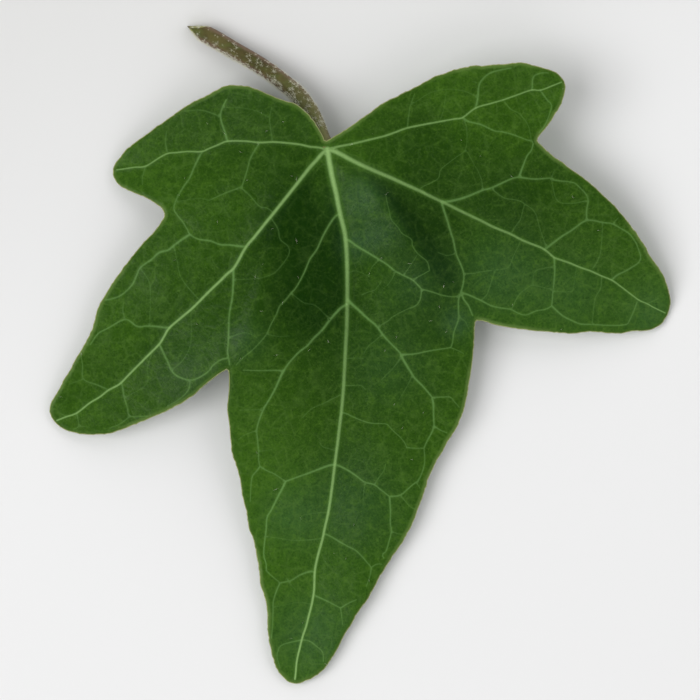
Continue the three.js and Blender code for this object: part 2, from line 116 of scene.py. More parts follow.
# Side veins: half the width, how pale they are, and the route away from the vein they leave.
SIDE_VEINS = {
    "left basal lobe": [
        (0.10, 0.50, [(-13.2, 21.3), (-13.5, 22.3), (-13.9, 23.7), (-13.7, 24.6), (-13.3, 25.4)]),
        (0.07, 0.22, [(-13.9, 23.7), (-14.8, 24.1), (-16.0, 24.4), (-17.5, 24.3)]),
        (0.07, 0.22, [(-19.2, 20.1), (-19.4, 21.2), (-19.3, 22.3)]),
        (0.09, 0.42, [(-15.8, 20.25), (-16.1, 19.6), (-16.5, 18.8), (-17.0, 17.6), (-17.5, 16.9),
                      (-18.1, 15.9), (-18.4, 15.2), (-18.5, 14.4), (-17.55, 13.1), (-16.95, 12.0)]),
        (0.07, 0.20, [(-21.4, 18.8), (-21.7, 17.8), (-21.7, 17.0)]),
        (0.08, 0.32, [(-10.0, 21.15), (-10.9, 19.6), (-11.2, 18.5), (-11.6, 17.2), (-11.9, 16.7),
                      (-13.2, 16.2), (-15.0, 15.4)]),
        (0.07, 0.24, [(-11.9, 16.7), (-11.0, 15.9), (-10.0, 14.8), (-9.2, 14.6), (-8.6, 14.1)]),
        (0.06, 0.18, [(-8.7, 21.2), (-8.9, 22.5), (-9.0, 23.6), (-8.8, 24.6)]),
        (0.05, 0.12, [(-15.0, 15.4), (-16.2, 15.6), (-18.4, 15.2)]),
        (0.05, 0.12, [(-9.0, 23.6), (-10.4, 24.3), (-12.0, 24.6), (-13.7, 24.6)]),
    ],
    "left side lobe, outer half": [
        (0.10, 0.50, [(-11.4, 10.75), (-13.0, 10.95), (-14.0, 11.0), (-14.85, 11.35), (-16.15, 11.55),
                      (-16.95, 12.0)]),
        (0.10, 0.50, [(-16.95, 12.0), (-17.8, 11.45), (-18.55, 10.9), (-19.1, 10.45), (-20.0, 10.2),
                      (-20.8, 9.5), (-21.9, 8.7), (-22.3, 7.85), (-22.8, 6.9), (-23.85, 5.95),
                      (-24.8, 5.6), (-25.4, 5.5)]),
        (0.09, 0.45, [(-19.0, 2.7), (-21.0, 2.9), (-22.2, 2.85), (-23.4, 3.55), (-25.1, 2.7),
                      (-25.9, 2.3), (-26.3, 1.95), (-26.9, 1.05)]),
        (0.06, 0.25, [(-23.4, 3.55), (-23.65, 4.4), (-23.6, 5.2)]),
        (0.07, 0.30, [(-25.1, -3.5), (-26.2, -3.0), (-27.6, -2.4), (-27.7, -1.0), (-27.9, 0.2)]),
        (0.05, 0.18, [(-27.6, -2.4), (-29.0, -2.9)]),
        (0.05, 0.18, [(-15.9, 5.4), (-17.1, 6.7), (-17.9, 7.9), (-18.2, 9.3), (-18.55, 10.9)]),
        (0.05, 0.14, [(-21.9, 8.7), (-21.0, 7.2), (-20.9, 5.4), (-21.0, 2.9)]),
    ],
    "left side lobe, inner half": [
        (0.09, 0.45, [(-20.0, 1.1), (-19.6, 0.2), (-19.2, -0.6), (-18.8, -1.5), (-18.2, -2.1),
                      (-16.9, -2.5), (-15.85, -2.15), (-15.0, -1.55), (-14.6, -1.0), (-13.7, -0.4),
                      (-13.05, -0.35)]),
        (0.07, 0.28, [(-16.9, -2.5), (-17.1, -3.5), (-18.0, -4.4), (-19.2, -5.1)]),
        (0.05, 0.16, [(-18.8, -1.5), (-17.8, -0.7), (-17.0, 0.6), (-16.8, 2.0), (-16.85, 4.5)]),
        (0.08, 0.35, [(-23.8, -2.7), (-23.5, -4.3), (-23.2, -5.3), (-22.9, -6.1), (-21.2, -6.1)]),
        (0.06, 0.25, [(-22.9, -6.1), (-24.0, -6.9), (-25.0, -7.3)]),
        (0.06, 0.28, [(-28.3, -5.8), (-28.1, -7.1), (-28.6, -7.4)]),
        (0.05, 0.20, [(-28.1, -7.1), (-27.0, -7.2)]),
        (0.05, 0.16, [(-29.3, -6.15), (-30.2, -5.7)]),
        (0.05, 0.14, [(-20.6, 0.5), (-21.2, -1.2), (-21.3, -2.9), (-23.5, -4.3)]),
    ],
    "left sinus": [
        (0.10, 0.52, [(-12.6, 8.6), (-12.6, 7.5), (-12.7, 5.8), (-13.0, 4.05), (-13.05, 2.65),
                      (-13.1, 1.2), (-13.17, 0.35), (-13.05, -0.35), (-12.98, -0.95)]),
        (0.05, 0.18, [(-13.05, 1.65), (-12.15, 2.05), (-11.2, 2.2), (-10.2, 1.7)]),
    ],
    "between the left main vein and the midrib": [
        (0.06, 0.20, [(-8.9, 13.7), (-8.15, 12.5), (-7.95, 11.5), (-7.15, 10.8), (-7.05, 10.05),
                      (-7.55, 9.2)]),
        (0.09, 0.50, [(-1.95, 14.0), (-2.4, 13.85), (-3.0, 13.05), (-3.7, 11.8), (-4.3, 10.5),
                      (-5.0, 9.5), (-5.55, 8.2), (-6.3, 6.8), (-6.85, 6.15)]),
        (0.07, 0.30, [(-6.85, 6.15), (-7.55, 5.3), (-8.0, 4.85), (-8.3, 4.05), (-8.85, 3.05),
                      (-9.3, 2.05), (-10.0, 1.2), (-10.85, 0.35), (-11.55, -0.2), (-12.3, -0.95)]),
        (0.04, 0.14, [(-9.3, 2.05), (-8.15, 1.85), (-7.0, 1.9)]),
        (0.05, 0.14, [(-7.55, 9.2), (-8.6, 8.1), (-10.2, 7.6), (-12.6, 7.5)]),
        (0.05, 0.13, [(-6.85, 6.15), (-5.6, 5.2), (-4.4, 4.9), (-3.0, 3.5)]),
        (0.11, 0.55, [(-1.28, 5.05), (-2.0, 4.6), (-3.0, 3.5), (-3.8, 2.45), (-4.57, 1.72),
                      (-5.23, 0.94), (-6.0, 0.36), (-6.62, -0.28), (-7.12, -0.85), (-7.62, -1.56)]),
        (0.11, 0.60, [(-7.62, -1.56), (-7.96, -2.28), (-8.46, -3.39), (-9.01, -4.39),
                      (-9.57, -5.28)]),
        (0.08, 0.45, [(-9.57, -5.28), (-9.84, -5.94), (-10.12, -6.72), (-10.29, -7.5),
                      (-10.2, -8.6), (-10.12, -9.7), (-10.1, -10.5), (-9.98, -11.1)]),
        (0.07, 0.36, [(-7.62, -1.56), (-8.6, -1.52), (-10.0, -1.55), (-11.6, -1.5)]),
        (0.05, 0.18, [(-9.65, -5.4), (-10.8, -5.45), (-12.0, -5.5)]),
        (0.05, 0.20, [(-10.29, -7.5), (-11.57, -8.0), (-12.1, -8.45)]),
        (0.05, 0.14, [(-10.12, -9.6), (-9.4, -9.5), (-8.8, -9.44)]),
        (0.05, 0.22, [(-1.68, -3.83), (-2.46, -4.22), (-3.12, -4.56), (-3.79, -4.9), (-4.8, -5.33),
                      (-5.7, -6.2)]),
        (0.05, 0.20, [(-2.34, -9.56), (-3.12, -9.33), (-3.79, -9.1), (-4.0, -8.7)]),
    ],
    "central lobe, left half": [
        (0.10, 0.60, [(-2.51, -10.9), (-3.34, -11.1), (-4.23, -11.44), (-5.12, -11.78),
                      (-5.9, -12.06), (-6.68, -12.33), (-7.43, -12.6)]),
        (0.09, 0.60, [(-7.43, -12.6), (-7.75, -13.3), (-8.25, -14.25), (-8.87, -15.5),
                      (-9.27, -16.2), (-9.38, -17.5), (-9.57, -19.07), (-9.6, -20.07),
                      (-9.38, -20.8), (-9.36, -21.5)]),
        (0.06, 0.36, [(-9.36, -21.5), (-8.87, -22.0), (-8.1, -22.66)]),
        (0.07, 0.40, [(-9.98, -11.1), (-9.23, -11.56), (-8.57, -11.83), (-7.9, -12.28),
                      (-7.43, -12.6)]),
        (0.07, 0.40, [(-9.98, -11.1), (-10.34, -11.6), (-10.73, -12.06), (-10.84, -12.6),
                      (-10.9, -13.5), (-10.95, -14.6)]),
        (0.09, 0.50, [(-4.51, -21.6), (-5.3, -21.7), (-6.16, -22.07), (-6.87, -22.5),
                      (-8.01, -22.78)]),
        (0.07, 0.44, [(-8.01, -22.78), (-8.37, -23.64), (-8.66, -24.64), (-8.69, -25.8),
                      (-8.73, -26.9), (-8.85, -28.3)]),
        (0.07, 0.45, [(-5.73, -28.45), (-6.73, -28.65), (-7.73, -28.94), (-8.09, -29.25)]),
        (0.06, 0.34, [(-8.09, -29.25), (-8.3, -30.1), (-8.0, -31.2)]),
        (0.05, 0.20, [(-3.7, -18.3), (-4.9, -18.45), (-6.6, -18.5), (-8.0, -18.3), (-9.45, -18.1)]),
        (0.04, 0.16, [(-3.2, -15.7), (-4.6, -15.8), (-5.2, -15.9), (-5.9, -16.2), (-6.0, -18.5)]),
        (0.04, 0.16, [(-7.3, -22.3), (-7.0, -22.9), (-6.45, -23.4)]),
        (0.04, 0.14, [(-4.9, -24.9), (-6.0, -24.7), (-7.2, -24.9), (-8.67, -25.2)]),
    ],
    "central lobe, right half": [
        (0.09, 0.50, [(-2.45, -10.95), (-2.0, -11.1), (-1.01, -11.62), (-0.2, -12.2), (0.49, -12.7),
                      (1.41, -12.93), (2.2, -13.55), (2.95, -14.12)]),
        (0.08, 0.46, [(2.95, -14.12), (3.04, -15.6), (3.02, -16.8), (3.12, -17.6), (2.84, -18.8),
                      (2.56, -19.64), (2.2, -19.93), (2.4, -20.3)]),
        (0.08, 0.46, [(2.95, -14.12), (3.99, -14.0), (4.7, -13.43), (5.27, -12.93), (5.63, -12.7)]),
        (0.05, 0.24, [(3.99, -14.0), (4.56, -14.64), (4.99, -15.14), (5.5, -15.4)]),
        (0.05, 0.22, [(3.12, -17.6), (3.84, -17.86), (4.3, -17.9)]),
        (0.05, 0.24, [(1.41, -12.93), (1.99, -12.07), (2.41, -11.5), (2.53, -10.9)]),
        (0.04, 0.16, [(0.49, -12.7), (0.34, -13.9), (0.3, -15.0)]),
        (0.07, 0.36, [(5.63, -12.7), (5.91, -12.36), (6.27, -11.5), (6.46, -10.5), (6.38, -9.29)]),
        (0.05, 0.22, [(5.63, -12.7), (5.99, -13.3)]),
        (0.08, 0.42, [(-3.6, -17.85), (-3.16, -18.0), (-2.16, -18.57), (-1.3, -19.07),
                      (-0.44, -19.5), (0.27, -20.2), (1.13, -21.2)]),
        (0.06, 0.34, [(1.13, -21.2), (1.7, -20.86), (2.2, -20.9)]),
        (0.06, 0.34, [(1.13, -21.2), (0.99, -22.07), (0.63, -23.07)]),
        (0.08, 0.46, [(-4.65, -24.0), (-4.23, -24.14), (-3.3, -24.57), (-1.94, -25.27)]),
        (0.06, 0.38, [(-1.94, -25.27), (-1.16, -24.79), (-0.37, -24.43)]),
        (0.06, 0.38, [(-1.94, -25.27), (-1.82, -26.2), (-1.75, -26.9)]),
        (0.07, 0.42, [(-5.73, -28.45), (-5.01, -28.6), (-4.3, -29.14), (-3.73, -29.7),
                      (-3.66, -30.6)]),
        (0.06, 0.34, [(-1.75, -5.75), (-1.34, -5.85), (-0.68, -6.17), (0.1, -6.5), (0.95, -6.77),
                      (1.8, -6.83), (2.66, -6.88), (3.04, -7.28), (3.66, -7.89), (4.04, -8.22),
                      (4.43, -8.72), (4.66, -9.22)]),
        (0.06, 0.32, [(4.66, -9.22), (5.43, -9.3), (6.38, -9.29)]),
        (0.05, 0.22, [(-1.62, -3.05), (-0.6, -3.02), (0.1, -3.02), (0.5, -3.39)]),
        (0.05, 0.18, [(-1.48, -0.35), (-0.4, -0.3), (0.3, -0.35)]),
    ],
    "central lobe, right shoulder": [
        (0.12, 0.60, [(-1.27, 5.6), (-1.01, 5.25), (-0.23, 4.56), (0.66, 3.72), (1.66, 2.87),
                      (2.21, 2.08), (2.99, 1.22), (3.88, 0.33), (4.1, -0.06)]),
        (0.11, 0.60, [(4.1, -0.06), (4.54, -0.87), (4.99, -1.6), (5.43, -2.28), (6.21, -3.06),
                      (6.88, -3.83), (7.2, -4.25)]),
        (0.10, 0.52, [(7.2, -4.25), (7.32, -5.06), (7.33, -5.94), (7.38, -7.06)]),
        (0.08, 0.45, [(7.38, -7.06), (7.16, -7.72), (6.68, -8.6), (6.38, -9.29)]),
        (0.08, 0.45, [(4.1, 0.08), (5.21, 0.08), (6.77, 0.39), (8.1, 0.6), (9.04, 0.74)]),
        (0.05, 0.26, [(9.04, 0.74), (9.77, 0.44), (10.32, 0.15)]),
        (0.06, 0.34, [(7.2, -4.25), (8.1, -4.19), (8.99, -4.19), (9.32, -4.56), (9.9, -5.2)]),
        (0.07, 0.38, [(7.38, -7.06), (7.99, -7.48), (8.66, -7.75)]),
        (0.05, 0.20, [(4.0, -0.3), (3.32, -1.28), (2.54, -2.06), (2.1, -2.5)]),
        (0.04, 0.16, [(5.2, -2.0), (4.66, -3.17), (4.32, -3.72), (3.88, -4.5)]),
        (0.05, 0.18, [(2.21, 2.08), (1.43, 1.36), (0.88, 0.94), (0.4, 0.2)]),
        (0.05, 0.26, [(1.75, 2.8), (2.77, 3.39), (3.21, 3.78), (4.43, 4.44), (5.3, 4.83),
                      (5.6, 4.95)]),
    ],
    "between the midrib and the right main vein": [
        (0.10, 0.55, [(-1.4, 11.5), (-1.0, 11.35), (-0.35, 10.85), (0.45, 10.38), (1.0, 10.05),
                      (1.9, 9.5), (2.65, 9.03), (3.45, 8.38), (4.3, 7.92), (5.2, 7.48), (5.9, 6.8),
                      (6.1, 6.55)]),
        (0.07, 0.36, [(6.1, 6.55), (7.1, 6.3), (8.3, 5.92), (9.4, 5.8), (10.05, 6.1)]),
        (0.06, 0.40, [(6.1, 6.55), (6.0, 5.6), (5.6, 4.95), (5.0, 4.65)]),
        (0.05, 0.30, [(5.2, 7.48), (6.2, 8.0), (6.9, 8.4)]),
        (0.05, 0.24, [(6.9, 8.4), (6.65, 9.3), (5.75, 10.05), (5.2, 10.85), (5.1, 11.5),
                      (4.2, 12.05), (3.75, 12.7), (3.1, 13.45), (2.9, 14.3), (2.65, 15.3),
                      (2.55, 15.95)]),
        (0.04, 0.20, [(1.9, 9.5), (1.1, 8.6), (0.9, 7.8)]),
        (0.04, 0.20, [(0.2, 6.0), (0.9, 6.3), (1.5, 6.5), (2.1, 7.3)]),
        (0.04, 0.20, [(3.45, 8.38), (3.2, 7.6), (2.7, 6.9)]),
        (0.04, 0.20, [(4.3, 7.92), (4.8, 8.6), (5.75, 10.05)]),
        (0.04, 0.14, [(-1.3, 8.2), (-0.3, 8.35), (0.9, 7.8)]),
    ],
    "right sinus": [
        (0.10, 0.50, [(8.1, 15.25), (8.35, 14.4), (8.65, 13.5), (9.0, 12.3), (9.3, 11.35),
                      (9.55, 10.1), (10.0, 9.05), (10.3, 8.2), (10.3, 7.3), (10.05, 6.25)]),
        (0.09, 0.48, [(10.05, 6.25), (10.35, 5.5), (10.8, 4.9), (11.2, 3.95)]),
        (0.08, 0.42, [(10.05, 6.25), (9.8, 5.5), (9.8, 4.5), (9.8, 3.6), (9.6, 2.95),
                      (9.33, 2.2), (9.21, 1.28), (9.04, 0.74)]),
        (0.08, 0.44, [(10.05, 6.25), (10.9, 5.95), (12.0, 5.45), (13.1, 4.9), (14.0, 4.7),
                      (15.0, 4.55), (15.8, 4.15), (16.55, 4.0), (17.55, 4.4), (18.45, 4.55),
                      (19.1, 4.9)]),
        (0.05, 0.20, [(12.1, 5.5), (12.65, 6.05), (13.0, 7.1), (13.45, 8.45)]),
        (0.05, 0.20, [(10.3, 8.15), (11.1, 8.1), (12.1, 8.3), (13.45, 8.45), (14.65, 8.65),
                      (14.95, 9.0), (15.3, 9.9), (15.8, 10.9), (16.0, 11.5)]),
        (0.05, 0.20, [(15.1, 4.6), (15.8, 5.95), (16.55, 6.6), (17.2, 6.95), (18.35, 6.7),
                      (19.25, 6.5)]),
        (0.04, 0.20, [(9.55, 10.1), (8.6, 9.9), (7.8, 10.2)]),
        (0.04, 0.16, [(9.8, 3.9), (10.5, 3.3), (10.9, 2.4)]),
    ],
    "right side lobe, lower half": [
        (0.09, 0.45, [(19.35, 9.7), (19.4, 8.2), (19.25, 6.5), (19.1, 4.9)]),
        (0.08, 0.42, [(19.1, 4.9), (20.15, 3.95), (21.0, 3.5), (22.0, 3.1), (23.15, 3.05),
                      (25.15, 2.95), (26.6, 3.05), (26.85, 3.35), (27.3, 4.3), (27.75, 5.5)]),
        (0.05, 0.18, [(19.3, 8.8), (18.4, 8.65), (17.4, 8.3), (17.2, 6.95)]),
        (0.05, 0.22, [(24.1, 7.88), (24.0, 6.65), (23.5, 5.8), (23.3, 4.6), (23.15, 3.05)]),
        (0.04, 0.16, [(19.25, 6.4), (20.0, 6.3), (21.15, 6.35), (21.3, 6.9), (21.6, 8.9)]),
    ],
    "right side lobe, upper half": [
        (0.11, 0.55, [(8.1, 15.28), (8.6, 15.25), (10.0, 15.55), (11.1, 15.95), (12.2, 16.4),
                      (13.0, 16.6), (14.0, 17.05), (15.1, 17.55), (15.8, 17.7)]),
        (0.08, 0.42, [(15.8, 17.7), (17.3, 17.5), (19.0, 17.6), (19.3, 17.4), (21.0, 17.2),
                      (21.5, 17.0)]),
        (0.09, 0.48, [(15.8, 17.7), (16.2, 18.8), (16.6, 19.8), (17.0, 20.3), (17.2, 21.0)]),
        (0.05, 0.20, [(13.05, 16.6), (13.7, 16.05), (14.45, 15.6), (15.65, 15.4), (16.35, 15.05),
                      (17.4, 14.2), (17.9, 12.6), (18.5, 10.85)]),
        (0.05, 0.18, [(19.0, 17.6), (19.3, 18.3)]),
        (0.09, 0.45, [(18.4, 10.5), (20.0, 11.75), (21.05, 12.4), (22.55, 13.4), (24.15, 13.2),
                      (25.15, 13.05), (26.15, 12.5), (26.9, 12.0), (27.55, 11.1)]),
        (0.05, 0.22, [(25.15, 13.05), (25.7, 13.65)]),
        (0.08, 0.38, [(22.55, 13.4), (22.55, 14.5), (22.7, 15.4), (22.4, 16.1), (21.5, 17.0)]),
        (0.05, 0.20, [(22.7, 15.4), (21.1, 15.1), (19.6, 15.4), (19.0, 17.6)]),
        (0.08, 0.40, [(25.1, 7.48), (25.7, 8.0), (26.7, 8.5), (27.95, 9.5), (27.55, 11.1)]),
        (0.05, 0.20, [(23.0, 8.4), (23.5, 9.05), (24.0, 10.4), (24.15, 13.2)]),
        (0.05, 0.18, [(15.0, 12.05), (15.65, 13.05), (16.0, 13.6), (16.35, 15.05)]),
        (0.05, 0.18, [(28.65, 5.13), (29.8, 5.65)]),
        (0.04, 0.20, [(5.9, 16.35), (6.15, 16.7), (7.0, 17.1), (7.8, 17.6), (8.0, 18.4), (8.8, 19.1),
                      (9.6, 19.7), (10.5, 20.5), (10.6, 22.5), (10.3, 23.4)]),
        (0.04, 0.14, [(12.2, 16.4), (12.0, 17.7), (11.2, 19.2), (10.5, 20.5)]),
    ],
    "right basal lobe": [
        (0.06, 0.22, [(4.7, 22.6), (4.8, 23.6), (5.0, 24.8), (5.4, 25.9)]),
        (0.09, 0.45, [(11.5, 24.55), (11.7, 25.6), (11.85, 26.9), (12.6, 27.8), (13.5, 28.2),
                      (15.0, 28.5)]),
        (0.05, 0.18, [(11.85, 26.95), (11.2, 27.15)]),
        (0.08, 0.40, [(17.1, 26.3), (17.2, 27.6), (18.0, 28.0), (18.7, 28.0)]),
        (0.07, 0.36, [(17.9, 26.3), (18.6, 25.3), (19.0, 24.9), (18.9, 24.2), (18.4, 22.9),
                      (17.8, 22.1)]),
        (0.05, 0.20, [(14.2, 25.35), (15.0, 24.4), (15.8, 24.0), (16.7, 22.8), (17.0, 21.4)]),
        (0.08, 0.42, [(10.2, 23.6), (10.8, 23.2), (12.0, 22.9), (13.3, 22.3), (14.0, 22.2),
                      (15.2, 21.9), (16.5, 21.4), (17.1, 21.25)]),
        (0.04, 0.14, [(11.7, 25.6), (10.4, 26.2), (8.6, 26.4), (6.9, 26.0), (5.0, 24.8)]),
        (0.04, 0.14, [(7.9, 23.2), (8.3, 24.4), (8.6, 26.4)]),
    ],
}

# Crests of the folds beside the midrib: the route, the rise, and how far each side reaches, the side
# on the left of the route first.
CRESTS = [
    ([(-1.4, 18.8), (0.6, 17.4), (2.6, 14.6), (4.4, 11.8), (6.0, 9.0), (7.0, 6.2)], 0.6, 1.5, 1.3),
    ([(-6.0, 16.8), (-8.4, 13.0), (-9.8, 9.0), (-10.4, 5.0), (-10.9, 1.5)], 0.5, 1.5, 2.0),
]

# How light the green of the skin is, from about 0 to 1: partly its own tone, partly painted shade on slopes
# turned away from the lamp and painted sheen on slopes turned to it. The columns are x, y and the lightness.
SKIN_TONE_AND_PAINTED_LIGHT = [
    (-22, 19.5, 0.8), (-21, 17, 0.85), (-17, 22.5, 0.6), (-13, 25.5, 0.5), (-12, 19, 0.5), (-8, 23.5, 0.5),
    (-16, 17.5, 0.7), (-8, 18.5, 0.35), (-20, 11, 0.6), (-13, 12.5, 0.65), (-24, 5, 0.75), (-29, -4.5, 0.75),
    (-19, 6.5, 0.5), (-18, -1, 0.45), (-23, -4.5, 0.65), (-14, 4, 0.5), (-14.5, -0.5, 0.5), (-10, 9, 0.5),
    (-11.5, 4, 0.35), (-11.5, 0, 0.65), (-5, 15.5, -0.15), (-7, 12, -0.1), (-4, 11, -0.15), (-7, 7, -0.05),
    (-5, 5, -0.25), (-2.8, 7, 0.0), (-2.6, 1, 0.25), (-7, 1.5, 0.25), (-8.5, -1, 0.55), (-5, -3, 0.5),
    (-11, -5, 0.9), (-6, -8, 0.7), (-7, -16, 1.2), (-9, -12, 1.05), (-5, -17, 0.85), (-7, -25, 1.0),
    (-5, -31, 1.0), (-1, 18, 0.8), (0, 16, 1.15), (0.5, 12.5, 0.6), (3, 15, 0.2), (4.8, 13.5, 0.05),
    (6.8, 11, 0.05), (8.4, 7.8, 0.0), (3.5, 10.5, 0.55), (2, 6.5, 0.55), (5.5, 4.5, 0.4), (7.5, 3.5, 0.3),
    (3, -1, 0.55), (0, -2, 0.45), (6, -1.5, 0.5), (9.5, -2, 0.6), (2.5, -7, 0.55), (7, -9, 0.7),
    (0, -10, 0.55), (3.5, -12, 0.7), (-1, -15, 0.45), (3.5, -18, 0.7), (0, -22, 0.75), (-2.5, -27, 0.85),
    (4, 19.5, 0.35), (6, 20, 0.1), (9, 17.5, 0.45), (3, 24, 0.7), (10, 26, 0.85), (14, 23.5, 0.7),
    (18, 26.5, 0.85), (15, 19.5, 0.5), (15, 15, 0.15), (20, 14.5, 0.5), (24, 15, 0.6), (26, 10, 0.8),
    (21, 11, 0.6), (12, 10.5, 0.65), (14, 8, 0.75), (11, 5, 0.7), (18, 4, 0.75), (22, 6, 0.8), (29, 4, 0.95),
]

# Painted sheen, where the green is made bluish to stand for the lamp's reflection on the wax: x, y, how far
# it spreads, and how strong it is.
PAINTED_SHEENS = [
    (0, 15.5, 2.2, 1.0), (-0.3, 11, 1.6, 0.9), (2.2, 12, 1.8, 0.7), (9.6, 3.2, 1.5, 0.9), (5, 7, 3.0, 0.4),
    (3, -1, 4.0, 0.4), (-1, -15, 5.0, 0.6), (-7, -16, 3.0, 0.6), (-5, -28, 4.5, 0.8), (14, 8, 4.0, 0.7),
    (21, 6, 4.0, 0.5), (29, 4, 3.0, 0.7), (-11.5, 1.5, 2.0, 0.5), (-17, -1, 3.0, 0.3),
]

# Painted shade in the hollows beside the folds: the route, how far each one spreads, and how dark it is.
PAINTED_FOLD_SHADES = [
    ([(-2.3, 19.3), (0.0, 17.8), (2.0, 16.5), (4.0, 14.5), (6.0, 11.5), (8.0, 8.5), (9.3, 6.3)], 0.85, 0.42),
    ([(-3.4, 19.0), (-2.9, 16.0), (-2.2, 12.0), (-2.0, 8.0), (-1.9, 4.0)], 0.6, 0.35),
    ([(-4.6, 17.6), (-7.4, 14.0), (-10.2, 10.2)], 0.8, 0.3),
]

# The stalk's middle line seen from above, from the joint to past the cut.
STALK_ROUTE = [(-3.3, 20.5), (-3.85, 21.5), (-4.35, 22.9), (-5.05, 24.4), (-6.3, 26.05), (-8.0, 27.5),
               (-10.0, 28.93), (-12.5, 30.4), (-14.2, 31.4), (-15.7, 32.2), (-17.5, 33.1), (-19.0, 33.85)]
STALK_LAST_CAST = 31.8  # the solid's height is read up to here, and carried on past it
STALK_CUTS = [  # where each cut is, and which way it faces
    ((-16.6, 32.15), (-0.75, -0.66, 0.05)),
    ((-15.7, 32.8), (-0.03, 1.0, 0.15)),
]
CUT_RINGS = [(0.86, 0.05), (0.8, -0.07), (0.7, 0.0)]  # how far each ring of a cut shrinks and sinks
WELD = 0.02  # points of the stalk nearer than this become one

HAIR_ARMS = 6
HAIR_ARM = 0.7
STALK_HAIRS = 900
STALK_HAIR_SIDE = 1  # the side of the line with more hairs
STRAY_HAIRS = 45
FLATNESS = 0.3  # how wide the hairs on the blade are, beside their length

# Pale specks and hairs on the blade: x, y and size.
SPECKS = [
    (-6.3, 17.5, 0.5), (2.6, 16.0, 0.45), (-13.5, 22.1, 0.4), (-9.3, 22.3, 0.35), (-7.7, 23.2, 0.35),
    (-15.2, 23.1, 0.3), (-11.9, 20.2, 0.4), (-6.35, 11.35, 0.6), (-10.4, 7.7, 0.4), (-9.8, 4.35, 0.35),
    (-7.7, 5.2, 0.35), (-8.35, 0.0, 0.35), (-11.85, -0.35, 0.4), (-11.2, 17.4, 0.3), (-11.0, 11.0, 0.35),
    (7.0, 3.4, 0.4), (15.2, 5.0, 0.3), (-8.4, -13.4, 0.4), (-10.3, -9.7, 0.3), (6.3, -5.7, 0.35),
    (4.2, -7.2, 0.3), (3.4, -4.9, 0.3), (2.5, 0.5, 0.3),
]

# ---------------------------------------------------------------- routes and heights


def smooth_route(points, step):
    """Points about a step apart on a smooth curve through the given ones."""
    given = np.array(points, float)
    padded = np.vstack([2 * given[0] - given[1], given, 2 * given[-1] - given[-2]])
    share = np.linspace(0, 1, 12, endpoint=False)[:, None]
    pieces = []
    for a, b, c, d in zip(padded, padded[1:], padded[2:], padded[3:]):
        pieces.append(0.5 * (2 * b + (c - a) * share + (2 * a - 5 * b + 4 * c - d) * share**2
                             + (3 * b - a - 3 * c + d) * share**3))
    return even_route(np.vstack([*pieces, given[-1:]]), step)


def even_route(points, step):
    """The same line with its points evenly spaced, about a step apart."""
    gone = np.concatenate([[0], np.cumsum(np.linalg.norm(np.diff(points, axis=0), axis=1))])
    stops = np.linspace(0, gone[-1], max(1, round(gone[-1] / step)) + 1)
    return np.stack([np.interp(stops, gone, column) for column in points.T], axis=1)


def off_route(places, route):
    """How far each place is from a route, how far along the nearest point is, and on which side."""
    starts, spans = route[:-1], np.diff(route, axis=0)
    lengths = np.linalg.norm(spans, axis=1)
    apart = places[:, None] - starts
    along = np.clip((apart * spans).sum(2) / lengths**2, 0, 1)
    gaps = apart - along[..., None] * spans
    distances = np.linalg.norm(gaps, axis=2)
    nearest = distances.argmin(1)
    rows = np.arange(len(places))
    gone = np.concatenate([[0], np.cumsum(lengths)])
    share = (gone[nearest] + along[rows, nearest] * lengths[nearest]) / gone[-1]
    cross = spans[nearest, 0] * gaps[rows, nearest, 1] - spans[nearest, 1] * gaps[rows, nearest, 0]
    return distances[rows, nearest], share, np.sign(cross)


def inside(places, loop):
    """Which places lie inside a closed loop."""
    within = np.zeros(len(places), bool)
    x, y = places.T
    for (ax, ay), (bx, by) in zip(loop, np.roll(loop, -1, axis=0)):
        if ay != by:
            crossing = (ay > y) != (by > y)
            within ^= crossing & (x < (bx - ax) * (y - ay) / (by - ay) + ax)
    return within


def bell(distance, spread):
    return np.exp(-((distance / spread) ** 2))


def left_of(steps):
    """A step of one millimetre to the left of each of the given ones."""
    left = np.stack([-steps[:, 1], steps[:, 0]], 1)
    return left / np.linalg.norm(left, axis=1)[:, None]


def outward(loop):
    """The way out of a closed loop at each of its points."""
    return left_of(np.roll(loop, 1, axis=0) - np.roll(loop, -1, axis=0))


def waves(places, layers):
    """Soft waves at places in plan, from layers of (depth, how many to the millimetre, level)."""
    return np.array([
        sum(depth * noise.noise(Vector((x * pace, y * pace, level))) for depth, pace, level in layers)
        for x, y in places.tolist()
    ])


def store(mesh, facts):
    """Numbers that the mesh carries at each of its points, by name."""
    for name, values in facts.items():
        mesh.attributes.new(name, "FLOAT", "POINT").data.foreach_set("value", values.astype(np.float32))


def blurred(values, spread):
    """A grid of values, each averaged with its neighbours out to about the spread, in cells."""
    reach = int(3 * spread)
    kernel = bell(np.arange(-reach, reach + 1), math.sqrt(2) * spread)
    for axis in (0, 1):
        values = np.apply_along_axis(np.convolve, axis, values, kernel / kernel.sum(), "same")
    return values


